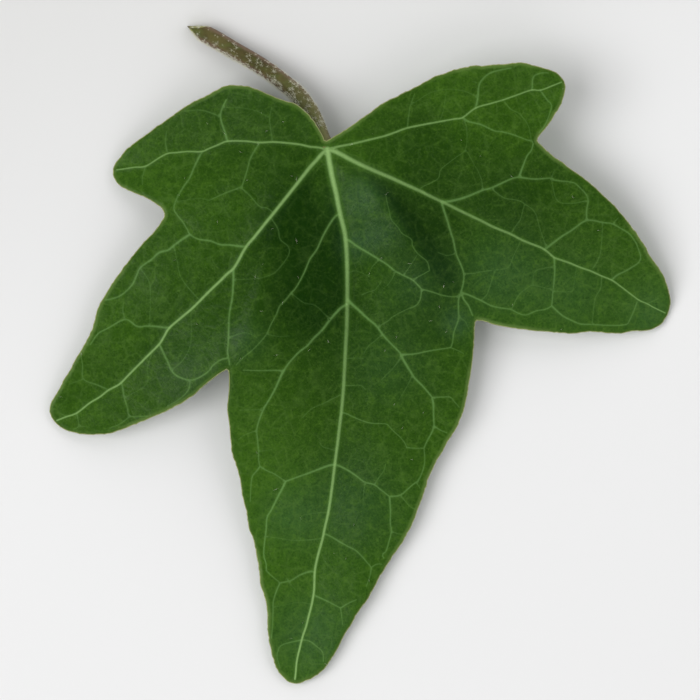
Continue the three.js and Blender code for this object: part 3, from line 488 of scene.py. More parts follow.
class Solid:
    """The solid leaf: its margin in plan and the height of its upper face, in millimetres."""

    GRID = 0.5

    def __init__(self, node):
        self.skin = bmesh.new()
        self.skin.from_mesh(node.data)
        bmesh.ops.remove_doubles(self.skin, verts=self.skin.verts, dist=1e-7)
        self.tree = BVHTree.FromBMesh(self.skin)
        self.margin = self.find_margin()
        self.find_heights()

    def find_margin(self):
        """The loop where the upper face meets the edge of the blade."""
        beside = {}
        for edge in self.skin.edges:
            tilts = sorted(abs(face.normal.z) if face.normal.z > -0.1 else 2 for face in edge.link_faces)
            if len(tilts) == 2 and tilts[0] < 0.1 and 0.3 < tilts[1] <= 1:
                a, b = edge.verts
                beside.setdefault(a, []).append(b)
                beside.setdefault(b, []).append(a)
        chains = []
        left = dict.fromkeys(beside)
        while left:
            start = next((v for v in left if len(beside[v]) == 1), next(iter(left)))
            chain = [start]
            del left[start]
            while True:
                onward = [v for v in beside[chain[-1]] if v in left]
                if not onward:
                    break
                chain.append(onward[0])
                del left[onward[0]]
            chains.append(chain)
        longest = max(chains, key=len)
        loop = np.array([v.co.xy / MM for v in longest])
        x, y = loop.T
        if (x * np.roll(y, -1) - y * np.roll(x, -1)).sum() < 0:
            loop = loop[::-1]
        return loop

    def find_heights(self):
        """A grid of heights over the blade, fitted so that the flat facets don't show."""
        low, high = self.margin.min(0) - 1.5, self.margin.max(0) + 1.5
        self.xs = np.arange(low[0], high[0], self.GRID)
        self.ys = np.arange(low[1], high[1], self.GRID)
        x, y = np.meshgrid(self.xs, self.ys)
        there = inside(np.stack([x.ravel(), y.ravel()], 1), self.margin).reshape(x.shape).astype(float)
        z = np.zeros_like(x)
        for index in np.argwhere(there > 0):
            spot = tuple(index)
            hit = self.tree.ray_cast(Vector((x[spot] * MM, y[spot] * MM, 1)), Vector((0, 0, -1)))[0]
            z[spot] = hit.z / MM if hit else 0
            there[spot] = hit is not None
        spread = FACET_BLUR / self.GRID
        parts = [np.ones_like(x), x, y]
        sums = np.empty(x.shape + (3, 3))
        sides = np.empty(x.shape + (3,))
        for i, a in enumerate(parts):
            sides[..., i] = blurred(there * a * z, spread)
            for j, b in enumerate(parts):
                sums[..., i, j] = blurred(there * a * b, spread) + (i == j) * 1e-9
        fit = np.linalg.solve(sums, sides[..., None])[..., 0]
        self.z = fit[..., 0] + fit[..., 1] * x + fit[..., 2] * y
        self.z[blurred(there, spread) < 1e-3] = 0

    def height(self, places):
        """The smoothed height of the upper face at places in plan."""
        column = np.clip((places[:, 0] - self.xs[0]) / self.GRID, 0, len(self.xs) - 1.001)
        row = np.clip((places[:, 1] - self.ys[0]) / self.GRID, 0, len(self.ys) - 1.001)
        i, j = row.astype(int), column.astype(int)
        v, u = row - i, column - j
        return ((1 - v) * ((1 - u) * self.z[i, j] + u * self.z[i, j + 1])
                + v * ((1 - u) * self.z[i + 1, j] + u * self.z[i + 1, j + 1]))

    def under(self, place):
        """The lowest point of the solid above a place on the surface that it lies on, if there is one."""
        hit = self.tree.ray_cast(Vector((place[0] * MM, place[1] * MM, -1)), Vector((0, 0, 1)))[0]
        return hit.z / MM if hit else math.nan


class Vein:
    """A vein on the blade: its route, how wide and pale it is, and what it does to the surface."""

    def __init__(self, start_width, end_width, pales, points, main):
        self.route = smooth_route(np.array(points) + SHIFT.xy, VEIN_STEP)
        self.widths = (start_width, end_width)
        self.pales = pales
        self.main = main

    def width(self, share):
        return self.widths[0] + (self.widths[1] - self.widths[0]) * share**0.7

    def pale(self, share):
        return np.interp(share, np.linspace(0, 1, len(self.pales)), self.pales)

    def relief(self, distance, share):
        """The furrow it makes in the upper skin, the ridge along the furrow, and the rib beneath."""
        width = self.width(share)
        if self.main:
            strength = 1 - 0.65 * share
            return (-0.20 * strength * bell(distance, 0.75),
                    (0.05 + 0.28 * width) * bell(distance, 1.05 * width),
                    0.66 * strength * bell(distance, 0.28 + 0.5 * width))
        strength = self.pale(share) / 0.6
        return (-0.13 * strength * bell(distance, 0.5),
                0.05 * strength * bell(distance, 1.1 * width),
                0.12 * strength * bell(distance, 0.05 + 1.3 * width))


def all_veins():
    veins = [Vein(*facts, main=True) for facts in MAIN_VEINS.values()]
    for group in SIDE_VEINS.values():
        veins += [Vein(width, 0.6 * width, (pale, 0.8 * pale, 0.75 * pale), points, main=False)
                  for width, pale, points in group]
    return veins


# ---------------------------------------------------------------- the blade


class Sieve:
    """Takes places in turn and keeps those that aren't too close to one it has kept."""

    CELL = 0.35

    def __init__(self):
        self.cells = {}
        self.kept = []

    def take(self, places, apart):
        for x, y in places.tolist():
            i, j = int(x // self.CELL), int(y // self.CELL)
            near = (other for a in (i - 1, i, i + 1) for b in (j - 1, j, j + 1)
                    for other in self.cells.get((a, b), ()))
            if all((x - u) ** 2 + (y - v) ** 2 > apart**2 for u, v in near):
                self.cells.setdefault((i, j), []).append((x, y))
                self.kept.append((x, y))


def roughened_margin(loop):
    """The margin evenly stepped, with the slight waves of a grown edge."""
    closed = even_route(np.vstack([loop, loop[:1]]), 0.1)[:-1]
    padded = np.vstack([closed[-30:], closed, closed[:30]])
    kernel = bell(np.arange(-12, 13), 4.0)
    smooth = np.stack([np.convolve(column, kernel / kernel.sum(), "same") for column in padded.T], 1)[30:-30]
    rim = even_route(np.vstack([smooth, smooth[:1]]), VEIN_STEP)[:-1]
    return rim + outward(rim) * waves(rim, MARGIN_WAVES)[:, None]


def lay_out_blade(rim, veins):
    """The places and triangles of the blade in plan, with edges along its veins and its margin."""
    sieve = Sieve()
    routes = []
    sieve.take(rim, 0)
    for vein in veins:
        distance = off_route(vein.route, np.vstack([rim, rim[:1]]))[0]
        kept = vein.route[inside(vein.route, rim) & (distance > 0.16)]
        if len(kept) > 1:
            routes.append(kept)
            sieve.take(kept, 0.1)
    for vein in veins:
        sideways = left_of(np.gradient(vein.route, axis=0))
        width = vein.width(np.linspace(0, 1, len(vein.route)))[:, None]
        for offset in ((0.5, 1.0, 1.7) if vein.main else (1.6,)):
            aside = sideways * np.maximum(offset * width, 0.09 * (1 + offset))
            for side in (-1, 1):
                sieve.take(vein.route + side * aside, 0.12)
    low, high = rim.min(0), rim.max(0)
    rows = np.arange(low[1], high[1], SKIN_STEP * math.sqrt(3) / 2)
    for k, y in enumerate(rows):
        row = np.arange(low[0] + (k % 2) * SKIN_STEP / 2, high[0], SKIN_STEP)
        sieve.take(np.column_stack([row, np.full(len(row), y)]), 0.2)
    places = np.array(sieve.kept)
    edge_gap = off_route_loop(places, rim)
    inner = inside(places, rim) & (edge_gap > 0.1)
    places = np.vstack([rim, places[len(rim):][inner[len(rim):]]])
    index = {tuple(place): i for i, place in enumerate(places.tolist())}
    edges = []
    for route in routes:
        names = [index.get(tuple(place)) for place in route.tolist()]
        edges += [(a, b) for a, b in zip(names, names[1:]) if a is not None and b is not None]
    coords, _, triangles, *_ = geometry.delaunay_2d_cdt(
        [Vector(place) for place in places.tolist()], edges, [list(range(len(rim)))], 1, 1e-5, False)
    coords, triangles = np.array([tuple(c) for c in coords]), np.array(triangles)
    triangles = triangles[inside(coords[triangles].mean(1), rim)]
    used, triangles = np.unique(triangles, return_inverse=True)
    return coords[used], triangles.reshape(-1, 3)


def off_route_loop(places, loop):
    """How far each place is from a closed loop, found through the loop's nearest points."""
    closed = even_route(np.vstack([loop, loop[:1]]), 0.05)
    tree = kdtree.KDTree(len(closed))
    for i, (x, y) in enumerate(closed.tolist()):
        tree.insert((x, y, 0), i)
    tree.balance()
    return np.array([tree.find((x, y, 0))[2] for x, y in places.tolist()])


def vein_fields(places, veins):
    """What the veins do at each place: how near they are, how pale, and how they shape the skin."""
    count = len(places)
    fields = {name: np.full(count, BESIDE_NO_VEIN) for name in ("main_vein", "side_vein")}
    fields |= {name: np.zeros(count) for name in ("main_pale", "side_pale", "furrow", "ridge", "rib")}
    for vein in veins:
        reach = MAIN_REACH if vein.main else SIDE_REACH
        low, high = vein.route.min(0) - reach, vein.route.max(0) + reach
        near = np.flatnonzero(((places > low) & (places < high)).all(1))
        distance, share, _ = off_route(places[near], vein.route)
        kind = "main" if vein.main else "side"
        across = distance / vein.width(share)
        nearest = across < fields[kind + "_vein"][near]
        chosen = near[nearest]
        fields[kind + "_vein"][chosen] = across[nearest]
        fields[kind + "_pale"][chosen] = vein.pale(share[nearest])
        furrow, ridge, rib = vein.relief(distance, share)
        fields["furrow"][near] = np.minimum(fields["furrow"][near], furrow)
        fields["ridge"][near] = np.maximum(fields["ridge"][near], ridge)
        fields["rib"][near] = np.maximum(fields["rib"][near], rib)
    return fields


def tone_and_painted_light_fields(places):
    """How light the skin is at each place, its own tone with painted shade and painted sheen in it, and how
    bluish the painted sheen makes it, by name.
    """
    stops = np.array(SKIN_TONE_AND_PAINTED_LIGHT)
    nearness = bell(np.linalg.norm(places[:, None] - SHIFT.xy - stops[:, :2], axis=2), TONE_AND_PAINTED_LIGHT_SPREAD) + 1e-9
    tone_and_painted_light = (nearness * stops[:, 2]).sum(1) / nearness.sum(1)
    # painted shade: the skin is darkened along the hollows beside the folds
    for route, spread, dark in PAINTED_FOLD_SHADES:
        distance, share, _ = off_route(places, smooth_route(np.array(route) + SHIFT.xy, 0.5))
        fading = np.sin(math.pi * np.clip(0.1 + 0.8 * share, 0, 1))
        tone_and_painted_light -= dark * bell(distance, spread) * fading
    # painted sheen: bluish patches standing for the lamp's reflection on the wax
    painted_sheen = sum(strength * bell(np.linalg.norm(places - SHIFT.xy - (x, y), axis=1), spread)
                for x, y, spread, strength in PAINTED_SHEENS)
    return {"tone_and_painted_light": tone_and_painted_light, "painted_sheen": painted_sheen}


def blade_heights(solid, places, fields, edge):
    """The heights of the upper skin and of the underside, with their veins, folds and waves."""
    top = solid.height(places) + fields["furrow"] + fields["ridge"]
    for route, rise, near_side, far_side in CRESTS:
        distance, share, side = off_route(places, smooth_route(np.array(route) + SHIFT.xy, 0.5))
        spread = np.where(side > 0, near_side, far_side)
        top += rise * np.sin(math.pi * np.clip(0.12 + 0.8 * share, 0, 1)) * bell(distance, spread)
    top += waves(places, SKIN_WAVES)
    top -= 0.07 * bell(edge, 0.16)
    thinner = np.clip(1 - edge / MARGIN_WIDTH, 0, 1) ** 2
    thickness = BLADE_THICKNESS - (BLADE_THICKNESS - MARGIN_THICKNESS) * thinner
    bottom = top - thickness - fields["rib"] * np.clip(edge / 0.8, 0, 1)
    bottom = np.maximum(bottom, 0.0)
    return np.maximum(top, bottom + MARGIN_THICKNESS), bottom


def rim_order(triangles):
    """The points round the outside of a sheet of triangles, in order."""
    sides = set()
    for a, b, c in triangles.tolist():
        for start, end in ((a, b), (b, c), (c, a)):
            if (end, start) in sides:
                sides.remove((end, start))
            else:
                sides.add((start, end))
    onward = dict(sorted(sides))
    loop = [next(iter(onward))]
    while len(loop) < len(onward):
        loop.append(onward[loop[-1]])
    return loop


def make_blade(solid, veins):
    """The blade: an upper skin with its veins and folds, an underside with ribs, and a rounded edge."""
    rim = roughened_margin(solid.margin)
    places, triangles = lay_out_blade(rim, veins)
    ax, ay, bx, by, cx, cy = places[triangles].reshape(-1, 6).T
    clockwise = (bx - ax) * (cy - ay) < (by - ay) * (cx - ax)
    triangles[clockwise] = triangles[clockwise][:, ::-1]
    edge = off_route_loop(places, rim)
    fields = vein_fields(places, veins) | tone_and_painted_light_fields(places) | {"edge_mm": np.minimum(edge, 6)}
    top, bottom = blade_heights(solid, places, fields, edge)

    count = len(places)
    loop = rim_order(triangles)
    corners = places[loop]
    middle = np.column_stack([corners + 0.05 * outward(corners), (top[loop] + bottom[loop]) / 2])
    vertices = np.vstack([np.column_stack([places, top]), np.column_stack([places, bottom]), middle])
    faces = triangles.tolist() + (triangles[:, ::-1] + count).tolist()
    for k, a in enumerate(loop):
        after = (k + 1) % len(loop)
        b, ring, next_ring = loop[after], 2 * count + k, 2 * count + after
        faces += [[b, a, ring, next_ring], [next_ring, ring, a + count, b + count]]

    mesh = bpy.data.meshes.new("leaf_blade")
    mesh.from_pydata((vertices * MM).tolist(), [], faces)
    carried = ("main_vein", "side_vein", "main_pale", "side_pale", "edge_mm", "tone_and_painted_light", "painted_sheen")
    store(mesh, {name: np.concatenate([fields[name], fields[name], fields[name][loop]]) for name in carried})
    store(mesh, {"underside": np.concatenate([np.zeros(count), np.ones(count), np.zeros(len(loop))])})
    mesh.polygons.foreach_set("use_smooth", [True] * len(mesh.polygons))
    blade = bpy.data.objects.new("leaf_blade", mesh)
    bpy.context.scene.collection.objects.link(blade)
    return blade


# ---------------------------------------------------------------- the stalk


def select_only(thing):
    bpy.ops.object.select_all(action="DESELECT")
    thing.select_set(True)
    bpy.context.view_layer.objects.active = thing


def stalk_line(solid):
    """The middle of the stalk from the joint to past its cut end, in millimetres."""
    line = smooth_route(np.array(STALK_ROUTE) + SHIFT.xy, 0.15)
    heights = np.array([solid.under(place) + STALK_RADIUS if place[1] < STALK_LAST_CAST else np.nan
                        for place in line])
    known = ~np.isnan(heights)
    heights = np.interp(np.arange(len(line)), np.flatnonzero(known), heights[known])
    padded = np.pad(heights, 10, mode="reflect", reflect_type="odd")
    kernel = bell(np.arange(-10, 11), 5.0)
    heights = np.convolve(padded, kernel / kernel.sum(), "valid")
    return np.column_stack([line, heights])


def make_stalk(line):
    """The stalk as a tube along its line, roughened, and cut on a slant at its far end."""
    curve = bpy.data.curves.new("leaf_stalk", "CURVE")
    curve.dimensions, curve.use_fill_caps = "3D", True
    curve.bevel_depth, curve.bevel_resolution = STALK_RADIUS * MM, STALK_ROUNDNESS
    spline = curve.splines.new("POLY")
    spline.points.add(len(line) - 1)
    along = np.linspace(0, 1, len(line))
    for point, place, share in zip(spline.points, line, along):
        point.co = (*(place * MM), 1)
        point.radius = 0.98 + 0.1 * share**3 + 0.12 * (1 - share) ** 6
    stalk = bpy.data.objects.new("leaf_stalk", curve)
    bpy.context.scene.collection.objects.link(stalk)
    select_only(stalk)
    bpy.ops.object.convert(target="MESH")
    stalk = bpy.context.object

    bpy.ops.object.mode_set(mode="EDIT")
    bpy.ops.mesh.select_mode(type="FACE")
    for (x, y), facing in STALK_CUTS:
        bpy.ops.mesh.select_all(action="SELECT")
        bpy.ops.mesh.remove_doubles(threshold=WELD * MM)
        bpy.ops.mesh.bisect(plane_co=Vector((x + SHIFT.x, y + SHIFT.y, line[-1][2])) * MM,
                            plane_no=Vector(facing).normalized(), threshold=0.001 * MM,
                            use_fill=True, clear_outer=True)
    bpy.ops.mesh.select_all(action="SELECT")
    bpy.ops.mesh.remove_doubles(threshold=WELD * MM)
    for _, facing in STALK_CUTS:
        out = Vector(facing).normalized()
        bpy.ops.mesh.select_all(action="DESELECT")
        bpy.ops.object.mode_set(mode="OBJECT")
        facets = [face for face in stalk.data.polygons if face.normal.dot(out) > 0.99]
        facet = max(facets, key=lambda face: face.area)
        facet.select = True
        middle = facet.center.copy()
        bpy.ops.object.mode_set(mode="EDIT")
        for shrink, sink in CUT_RINGS:
            bpy.ops.mesh.extrude_region_move()
            bpy.ops.transform.resize(value=(shrink,) * 3, center_override=middle)
            bpy.ops.transform.translate(value=-out * sink * MM)
        bpy.ops.mesh.poke()
    bpy.ops.object.mode_set(mode="OBJECT")

    mesh = stalk.data
    points = np.empty(len(mesh.vertices) * 3)
    mesh.vertices.foreach_get("co", points)
    points = points.reshape(-1, 3) / MM
    gap, share, side = off_route(points[:, :2], line[:, :2])
    nearest = np.rint(share * (len(line) - 1)).astype(int)
    radial = points - line[nearest]
    reach = np.linalg.norm(radial, axis=1)
    turn = np.arctan2(radial[:, 2], gap * side)
    rough = np.array([0.035 * noise.noise(Vector((4 * math.cos(a), 4 * math.sin(a), 9 * s)))
                      + 0.03 * noise.noise(Vector((9 * math.cos(a), 9 * math.sin(a), 30 * s)))
                      for a, s in zip(turn, share)])
    groove = -0.05 * bell(turn - math.pi / 2, 0.35)
    points += radial / np.maximum(reach, 0.1)[:, None] * ((rough + groove) * (reach > 0.7))[:, None]
    points[:, 2] = np.maximum(points[:, 2], 0.0)
    mesh.vertices.foreach_set("co", (points * MM).ravel())
    store(mesh, {"along": share, "across": gap * side / STALK_RADIUS, "core": 1 - reach / STALK_RADIUS})
    mesh.polygons.foreach_set("use_smooth", [True] * len(mesh.polygons))
    select_only(stalk)
    bpy.ops.object.shade_smooth_by_angle(angle=math.radians(50))
    return stalk


# ---------------------------------------------------------------- hairs


def model_hair():
    """One star-shaped hair, with thin arms that spread from a point."""
    arms = []
    for k in range(HAIR_ARMS):
        turn, lift = math.tau * k / HAIR_ARMS + 0.2 * (k % 2), math.radians(12 + 14 * (k % 3))
        aim = Vector((math.cos(turn) * math.cos(lift), math.sin(turn) * math.cos(lift), math.sin(lift)))
        bpy.ops.mesh.primitive_cone_add(
            vertices=3, radius1=0.03 * MM, radius2=0.01 * MM, depth=HAIR_ARM * MM, end_fill_type="TRIFAN",
            location=aim * (HAIR_ARM / 2) * MM, rotation=aim.to_track_quat("Z", "Y").to_euler())
        arms.append(bpy.context.object)
    bpy.ops.object.select_all(action="DESELECT")
    for arm in arms:
        arm.select_set(True)
    bpy.ops.object.join()
    hair = bpy.context.object
    bpy.ops.object.transform_apply(location=True, rotation=True, scale=True)
    return hair


def place_hairs(name, hair, spots, flatness=1.0):
    """Copies of the hair at (place, facing, size), narrowed by the flatness, joined into one piece."""
    copies = []
    for place, facing, size in spots:
        copy = hair.copy()
        copy.data = hair.data.copy()
        spin = Matrix.Rotation(chance.uniform(0, math.tau), 4, "Z")
        width = size * flatness * chance.uniform(0.6, 1.0)
        copy.matrix_world = (Matrix.Translation(place) @ facing.to_track_quat("Z", "Y").to_matrix().to_4x4()
                             @ spin @ Matrix.Diagonal((size, width, size, 1)))
        bpy.context.scene.collection.objects.link(copy)
        copies.append(copy)
    bpy.ops.object.select_all(action="DESELECT")
    for copy in copies:
        copy.select_set(True)
    bpy.context.view_layer.objects.active = copies[0]
    bpy.ops.object.join()
    piece = bpy.context.object
    bpy.ops.object.transform_apply(location=True, rotation=True, scale=True)
    piece.name = piece.data.name = name
    return piece


def spots_on_stalk(stalk):
    """Places for hairs, thickest along the stalk's lower left edge and towards the joint."""
    across = [value.value for value in stalk.data.attributes["across"].data]
    along = [value.value for value in stalk.data.attributes["along"].data]
    spots = []
    vertices = stalk.data.vertices
    while len(spots) < STALK_HAIRS:
        k = chance.randrange(len(vertices))
        likely = 0.12 + 0.9 * max(0.0, across[k] * STALK_HAIR_SIDE) ** 2 + 0.25 * (along[k] < 0.35)
        if 0.08 < along[k] < 0.97 and chance.random() < likely:
            spots.append((vertices[k].co.copy(), vertices[k].normal.copy(), chance.uniform(0.2, 0.6)))
    return spots


def spots_on_blade(blade):
    """Places for the few hairs and specks on the blade."""
    tree = BVHTree.FromObject(blade, bpy.context.evaluated_depsgraph_get())
    spots = []
    for x, y, size in SPECKS:
        place, facing, *_ = tree.ray_cast(
            Vector(((x + SHIFT.x) * MM, (y + SHIFT.y) * MM, 0.05)), Vector((0, 0, -1)))
        spots.append((place, facing, size))
    while len(spots) < len(SPECKS) + STRAY_HAIRS:
        x, y = chance.uniform(-31, 31), chance.uniform(-32, 30)
        place, facing, *_ = tree.ray_cast(Vector((x * MM, y * MM, 0.05)), Vector((0, 0, -1)))
        if place is not None and facing.z > 0.5:
            spots.append((place, facing, chance.uniform(0.2, 0.42)))
    return spots


# ---------------------------------------------------------------- finishes


class Value:
    """A socket of a finish that can be worked with like a number."""

    def __init__(self, finish, socket):
        self.finish = finish
        self.socket = socket

    def maths(self, operation, *others):
        return self.finish.node("ShaderNodeMath", {"operation": operation}, dict(enumerate((self, *others))))

    def __add__(self, other):
        return self.maths("ADD", other)

    __radd__ = __add__

    def __sub__(self, other):
        return self.maths("SUBTRACT", other)

    def __rsub__(self, other):
        return (self * -1) + other

    def __mul__(self, other):
        return self.maths("MULTIPLY", other)

    __rmul__ = __mul__

    def rise(self, low, high):
        """0 up to low, 1 from high on, and smooth between them."""
        return self.finish.node(
            "ShaderNodeMapRange", {"interpolation_type": "SMOOTHSTEP"},
            {"Value": self, "From Min": low, "From Max": high})


class Finish:
    """A material as it is put together, with its patterns measured in millimetres."""

    def __init__(self, name, **sockets):
        self.material = bpy.data.materials.new(name)
        self.material.use_nodes = True
        self.tree = self.material.node_tree
        self.shader = self.tree.nodes["Principled BSDF"]
        for socket, value in sockets.items():
            self.feed(self.shader.inputs[socket.replace("_", " ")], value)
        spot = self.node("ShaderNodeTexCoord", output="Object")
        self.spot = self.node("ShaderNodeVectorMath", {"operation": "SCALE"}, {0: spot, "Scale": 1 / MM})

    def node(self, kind, settings=None, inputs=None, output=0):
        """The output of a new node, with its settings made first and then its inputs."""
        made = self.tree.nodes.new(kind)
        for name, value in (settings or {}).items():
            setattr(made, name, value)
        for name, value in (inputs or {}).items():
            self.feed(made.inputs[name], value)
        return Value(self, made.outputs[output])

    def feed(self, socket, value):
        if isinstance(value, Value):
            self.tree.links.new(value.socket, socket)
        elif isinstance(value, tuple) and len(value) == 3 and socket.type == "RGBA":
            socket.default_value = (*value, 1.0)
        else:
            socket.default_value = value

    def own(self, name):
        """A number that the piece carries at each of its points."""
        return self.node("ShaderNodeAttribute", {"attribute_name": name}, output="Fac")

    def work(self, operation, first, second):
        """Vector maths on two places or steps."""
        return self.node("ShaderNodeVectorMath", {"operation": operation}, {0: first, 1: second})

    def grain(self, scale, detail=2.0, roughness=0.5, shift=0.0, stretch=None):
        """Soft noise from 0 to 1, with so many waves to the millimetre."""
        spot = self.spot
        if shift:
            spot = self.work("ADD", spot, (shift, 2 * shift, -shift))
        if stretch:
            spot = self.work("MULTIPLY", spot, stretch)
        return self.node("ShaderNodeTexNoise", {"noise_dimensions": "3D"},
                         {"Vector": spot, "Scale": scale, "Detail": detail, "Roughness": roughness})

    def net(self, scale, randomness=1.0, wander=0.0):
        """How far a place is from the lines of a fine net, in its own mesh sizes."""
        spot = self.spot
        if wander:
            bent = self.node("ShaderNodeTexNoise", {},
                             {"Vector": spot, "Scale": 1.1 * scale, "Detail": 1.0}, "Color")
            bent = self.node("ShaderNodeVectorMath", {"operation": "SCALE"}, {0: bent, "Scale": wander})
            spot = self.work("ADD", spot, bent)
        spot = self.work("MULTIPLY", spot, (1.0, 1.0, 0.0))
        return self.node("ShaderNodeTexVoronoi", {"feature": "DISTANCE_TO_EDGE"},
                         {"Vector": spot, "Scale": scale, "Randomness": randomness})

    def mix(self, under, over, share):
        """One colour over another, by a share from 0 to 1."""
        return self.node("ShaderNodeMix", {"data_type": "RGBA", "clamp_factor": True},
                         {0: share, 6: under, 7: over}, 2)

    def bump(self, *layers):
        """Relief from layers of (height, how deep in millimetres), into the shader's normal."""
        normal = None
        for height, depth in layers:
            inputs = {"Height": height, "Distance": depth * MM, "Strength": 1.0}
            if normal:
                inputs["Normal"] = normal
            normal = self.node("ShaderNodeBump", {}, inputs)
        self.feed(self.shader.inputs["Normal"], normal)


def tone(red, green, blue):
    """A colour as it is mixed, from how it looks on a scale of 255."""
    return tuple(((c / 255 + 0.055) / 1.055) ** 2.4 if c > 10 else c / 255 / 12.92
                 for c in (red, green, blue))


def leaf_skin():
    """Dark green waxy skin with a fine net of paler veinlets, paler along its veins and its edge, darkened
    by painted shade and made bluish by painted sheen in places.
    """
    skin = Finish("waxy_leaf_skin", IOR=1.45, Specular_IOR_Level=0.3)
    main, side = skin.own("main_vein"), skin.own("side_vein")
    main_pale, side_pale = skin.own("main_pale"), skin.own("side_pale")
    edge, under = skin.own("edge_mm"), skin.own("underside")

    clouds = skin.grain(0.16, 3.0, 0.55)
    mottle = skin.grain(1.3, 3.0, 0.6, shift=7.0)
    pores = skin.grain(4.5, 2.0, 0.6, shift=13.0)
    # the skin's own tone by place, with painted shade on slopes turned away from the lamp and in the
    # hollows, and painted sheen on slopes turned to it
    light = skin.own("tone_and_painted_light") + 0.25 * (clouds - 0.5)
    fleck = 0.4 + 0.7 * light.rise(-0.3, 0.9)
    colour = skin.mix(tone(14, 43, 1), tone(52, 89, 13), light)
    # painted sheen: a bluish grey-green laid over the colour where the lamp's reflection would be
    colour = skin.mix(colour, tone(58, 88, 70), skin.own("painted_sheen") * 0.32)
    colour = skin.mix(colour, tone(22, 52, 8), (1 - mottle).rise(0.35, 0.8) * 0.35)
    colour = skin.mix(colour, tone(68, 104, 24), mottle.rise(0.5, 0.75) * 0.35 * fleck)
    colour = skin.mix(colour, tone(18, 46, 4), pores.rise(0.5, 0.72) * 0.36)
    colour = skin.mix(colour, tone(80, 114, 38), (1 - pores).rise(0.52, 0.75) * 0.24 * fleck)
    coarse_net = skin.net(0.62, wander=0.5)
    fine_net = skin.net(1.9, wander=0.25)
    coarse_line = (1 - coarse_net.rise(0.02, 0.09)) * skin.grain(0.5, shift=3.0).rise(0.35, 0.6)
    fine_line = (1 - fine_net.rise(0.03, 0.16)) * skin.grain(0.9, shift=5.0).rise(0.35, 0.65)
    colour = skin.mix(colour, tone(84, 118, 44), fine_line * 0.12 * fleck)
    colour = skin.mix(colour, tone(80, 114, 46), coarse_line * 0.16 * fleck)

    spots = skin.grain(0.35, 2.0, 0.5, shift=21.0).rise(0.62, 0.75)
    near_edge = (1 - edge.rise(0.05, 0.35)) * 0.4 + (1 - edge.rise(0.3, 1.8)) * spots * 0.3
    colour = skin.mix(colour, tone(62, 92, 24), near_edge)
    worn = skin.grain(0.1, 1.0, shift=17.0).rise(0.42, 0.56)
    colour = skin.mix(colour, tone(98, 126, 60), (1 - edge.rise(0.12, 0.45)) * worn * 0.5)
    colour = skin.mix(colour, tone(178, 178, 122), (1 - edge.rise(0.0, 0.08)) * 0.6)

    beside = (1 - main.rise(0.6, 3.4)) * main_pale
    colour = skin.mix(colour, tone(72, 112, 40), beside * 0.5)
    side_glow = (1 - side.rise(0.6, 4.5)) * side_pale
    colour = skin.mix(colour, tone(70, 108, 40), side_glow * 0.5)
    uneven = skin.grain(2.2, 2.0, shift=31.0)
    side_line = (1 - side.rise(0.1, 1.7 + 0.6 * uneven)) * side_pale
    colour = skin.mix(colour, tone(104, 144, 78), side_line * (0.75 + 0.5 * uneven))
    main_line = (1 - main.rise(0.15, 1.55)) * main_pale
    colour = skin.mix(colour, tone(132, 168, 100), main_line * (0.8 + 0.4 * uneven))

    beneath = skin.mix(tone(118, 148, 92), tone(96, 128, 74), mottle)
    beneath = skin.mix(beneath, tone(160, 182, 132), (side_line + main_line) * 1.2)
    colour = skin.mix(colour, beneath, under)
    skin.feed(skin.shader.inputs["Base Color"], colour)
    skin.feed(skin.shader.inputs["Roughness"], 0.30 + 0.12 * mottle + 0.1 * main_line + 0.15 * under)
    skin.bump((fine_net.rise(0.0, 0.25), 0.008), (coarse_net.rise(0.0, 0.2), 0.012),
              (pores, 0.02), (mottle, 0.03))
    return skin.material


def stalk_skin():
    """Olive-brown stalk skin, mauve along both its edges, which on one edge also stands for a painted
    highlight, and green in streaks, with pale scurf and a pale cut.
    """
    skin = Finish("olive_stalk_skin", IOR=1.42, Specular_IOR_Level=0.4)
    along, across, core = skin.own("along"), skin.own("across"), skin.own("core")
    clouds = skin.grain(0.45, 3.0, 0.6)
    fine = skin.grain(3.2, 3.0, 0.65, shift=4.0)
    streak = skin.grain(1.6, 3.0, 0.6, shift=9.0, stretch=(0.55, 0.9, 1.0))
    colour = skin.mix(tone(66, 58, 32), tone(90, 84, 46), clouds.rise(0.35, 0.65))
    colour = skin.mix(colour, tone(86, 98, 46), streak.rise(0.45, 0.7) * 0.6)
    # mauve along both edges: the stalk's own colour, which on its upper-right edge also stands for a painted
    # pinkish highlight
    colour = skin.mix(colour, tone(122, 98, 84), (across * across).rise(0.12, 0.75) * 0.7)
    colour = skin.mix(colour, tone(118, 122, 76), (1 - along.rise(0.12, 0.5)) * 0.6)
    colour = skin.mix(colour, tone(46, 40, 24), fine.rise(0.55, 0.75) * 0.45)
    colour = skin.mix(colour, tone(160, 152, 120), (1 - fine).rise(0.6, 0.75) * 0.22)
    flesh = skin.mix(tone(150, 150, 92), tone(96, 84, 52), core.rise(0.35, 0.8))
    colour = skin.mix(colour, flesh, core.rise(0.1, 0.16))
    skin.feed(skin.shader.inputs["Base Color"], colour)
    skin.feed(skin.shader.inputs["Roughness"], 0.5 + 0.25 * fine)
    skin.bump((streak, 0.06), (fine, 0.05))
    return skin.material


def hair_finish():
    """Pale matt hairs, a little uneven in tone."""
    hair = Finish("pale_matt_hair", Roughness=0.85, Specular_IOR_Level=0.2)
    uneven = hair.grain(1.5, 2.0)
    hair.feed(hair.shader.inputs["Base Color"], hair.mix(tone(200, 198, 174), tone(238, 238, 226), uneven))
    hair.bump((hair.grain(9.0, 1.0), 0.01))
    return hair.material


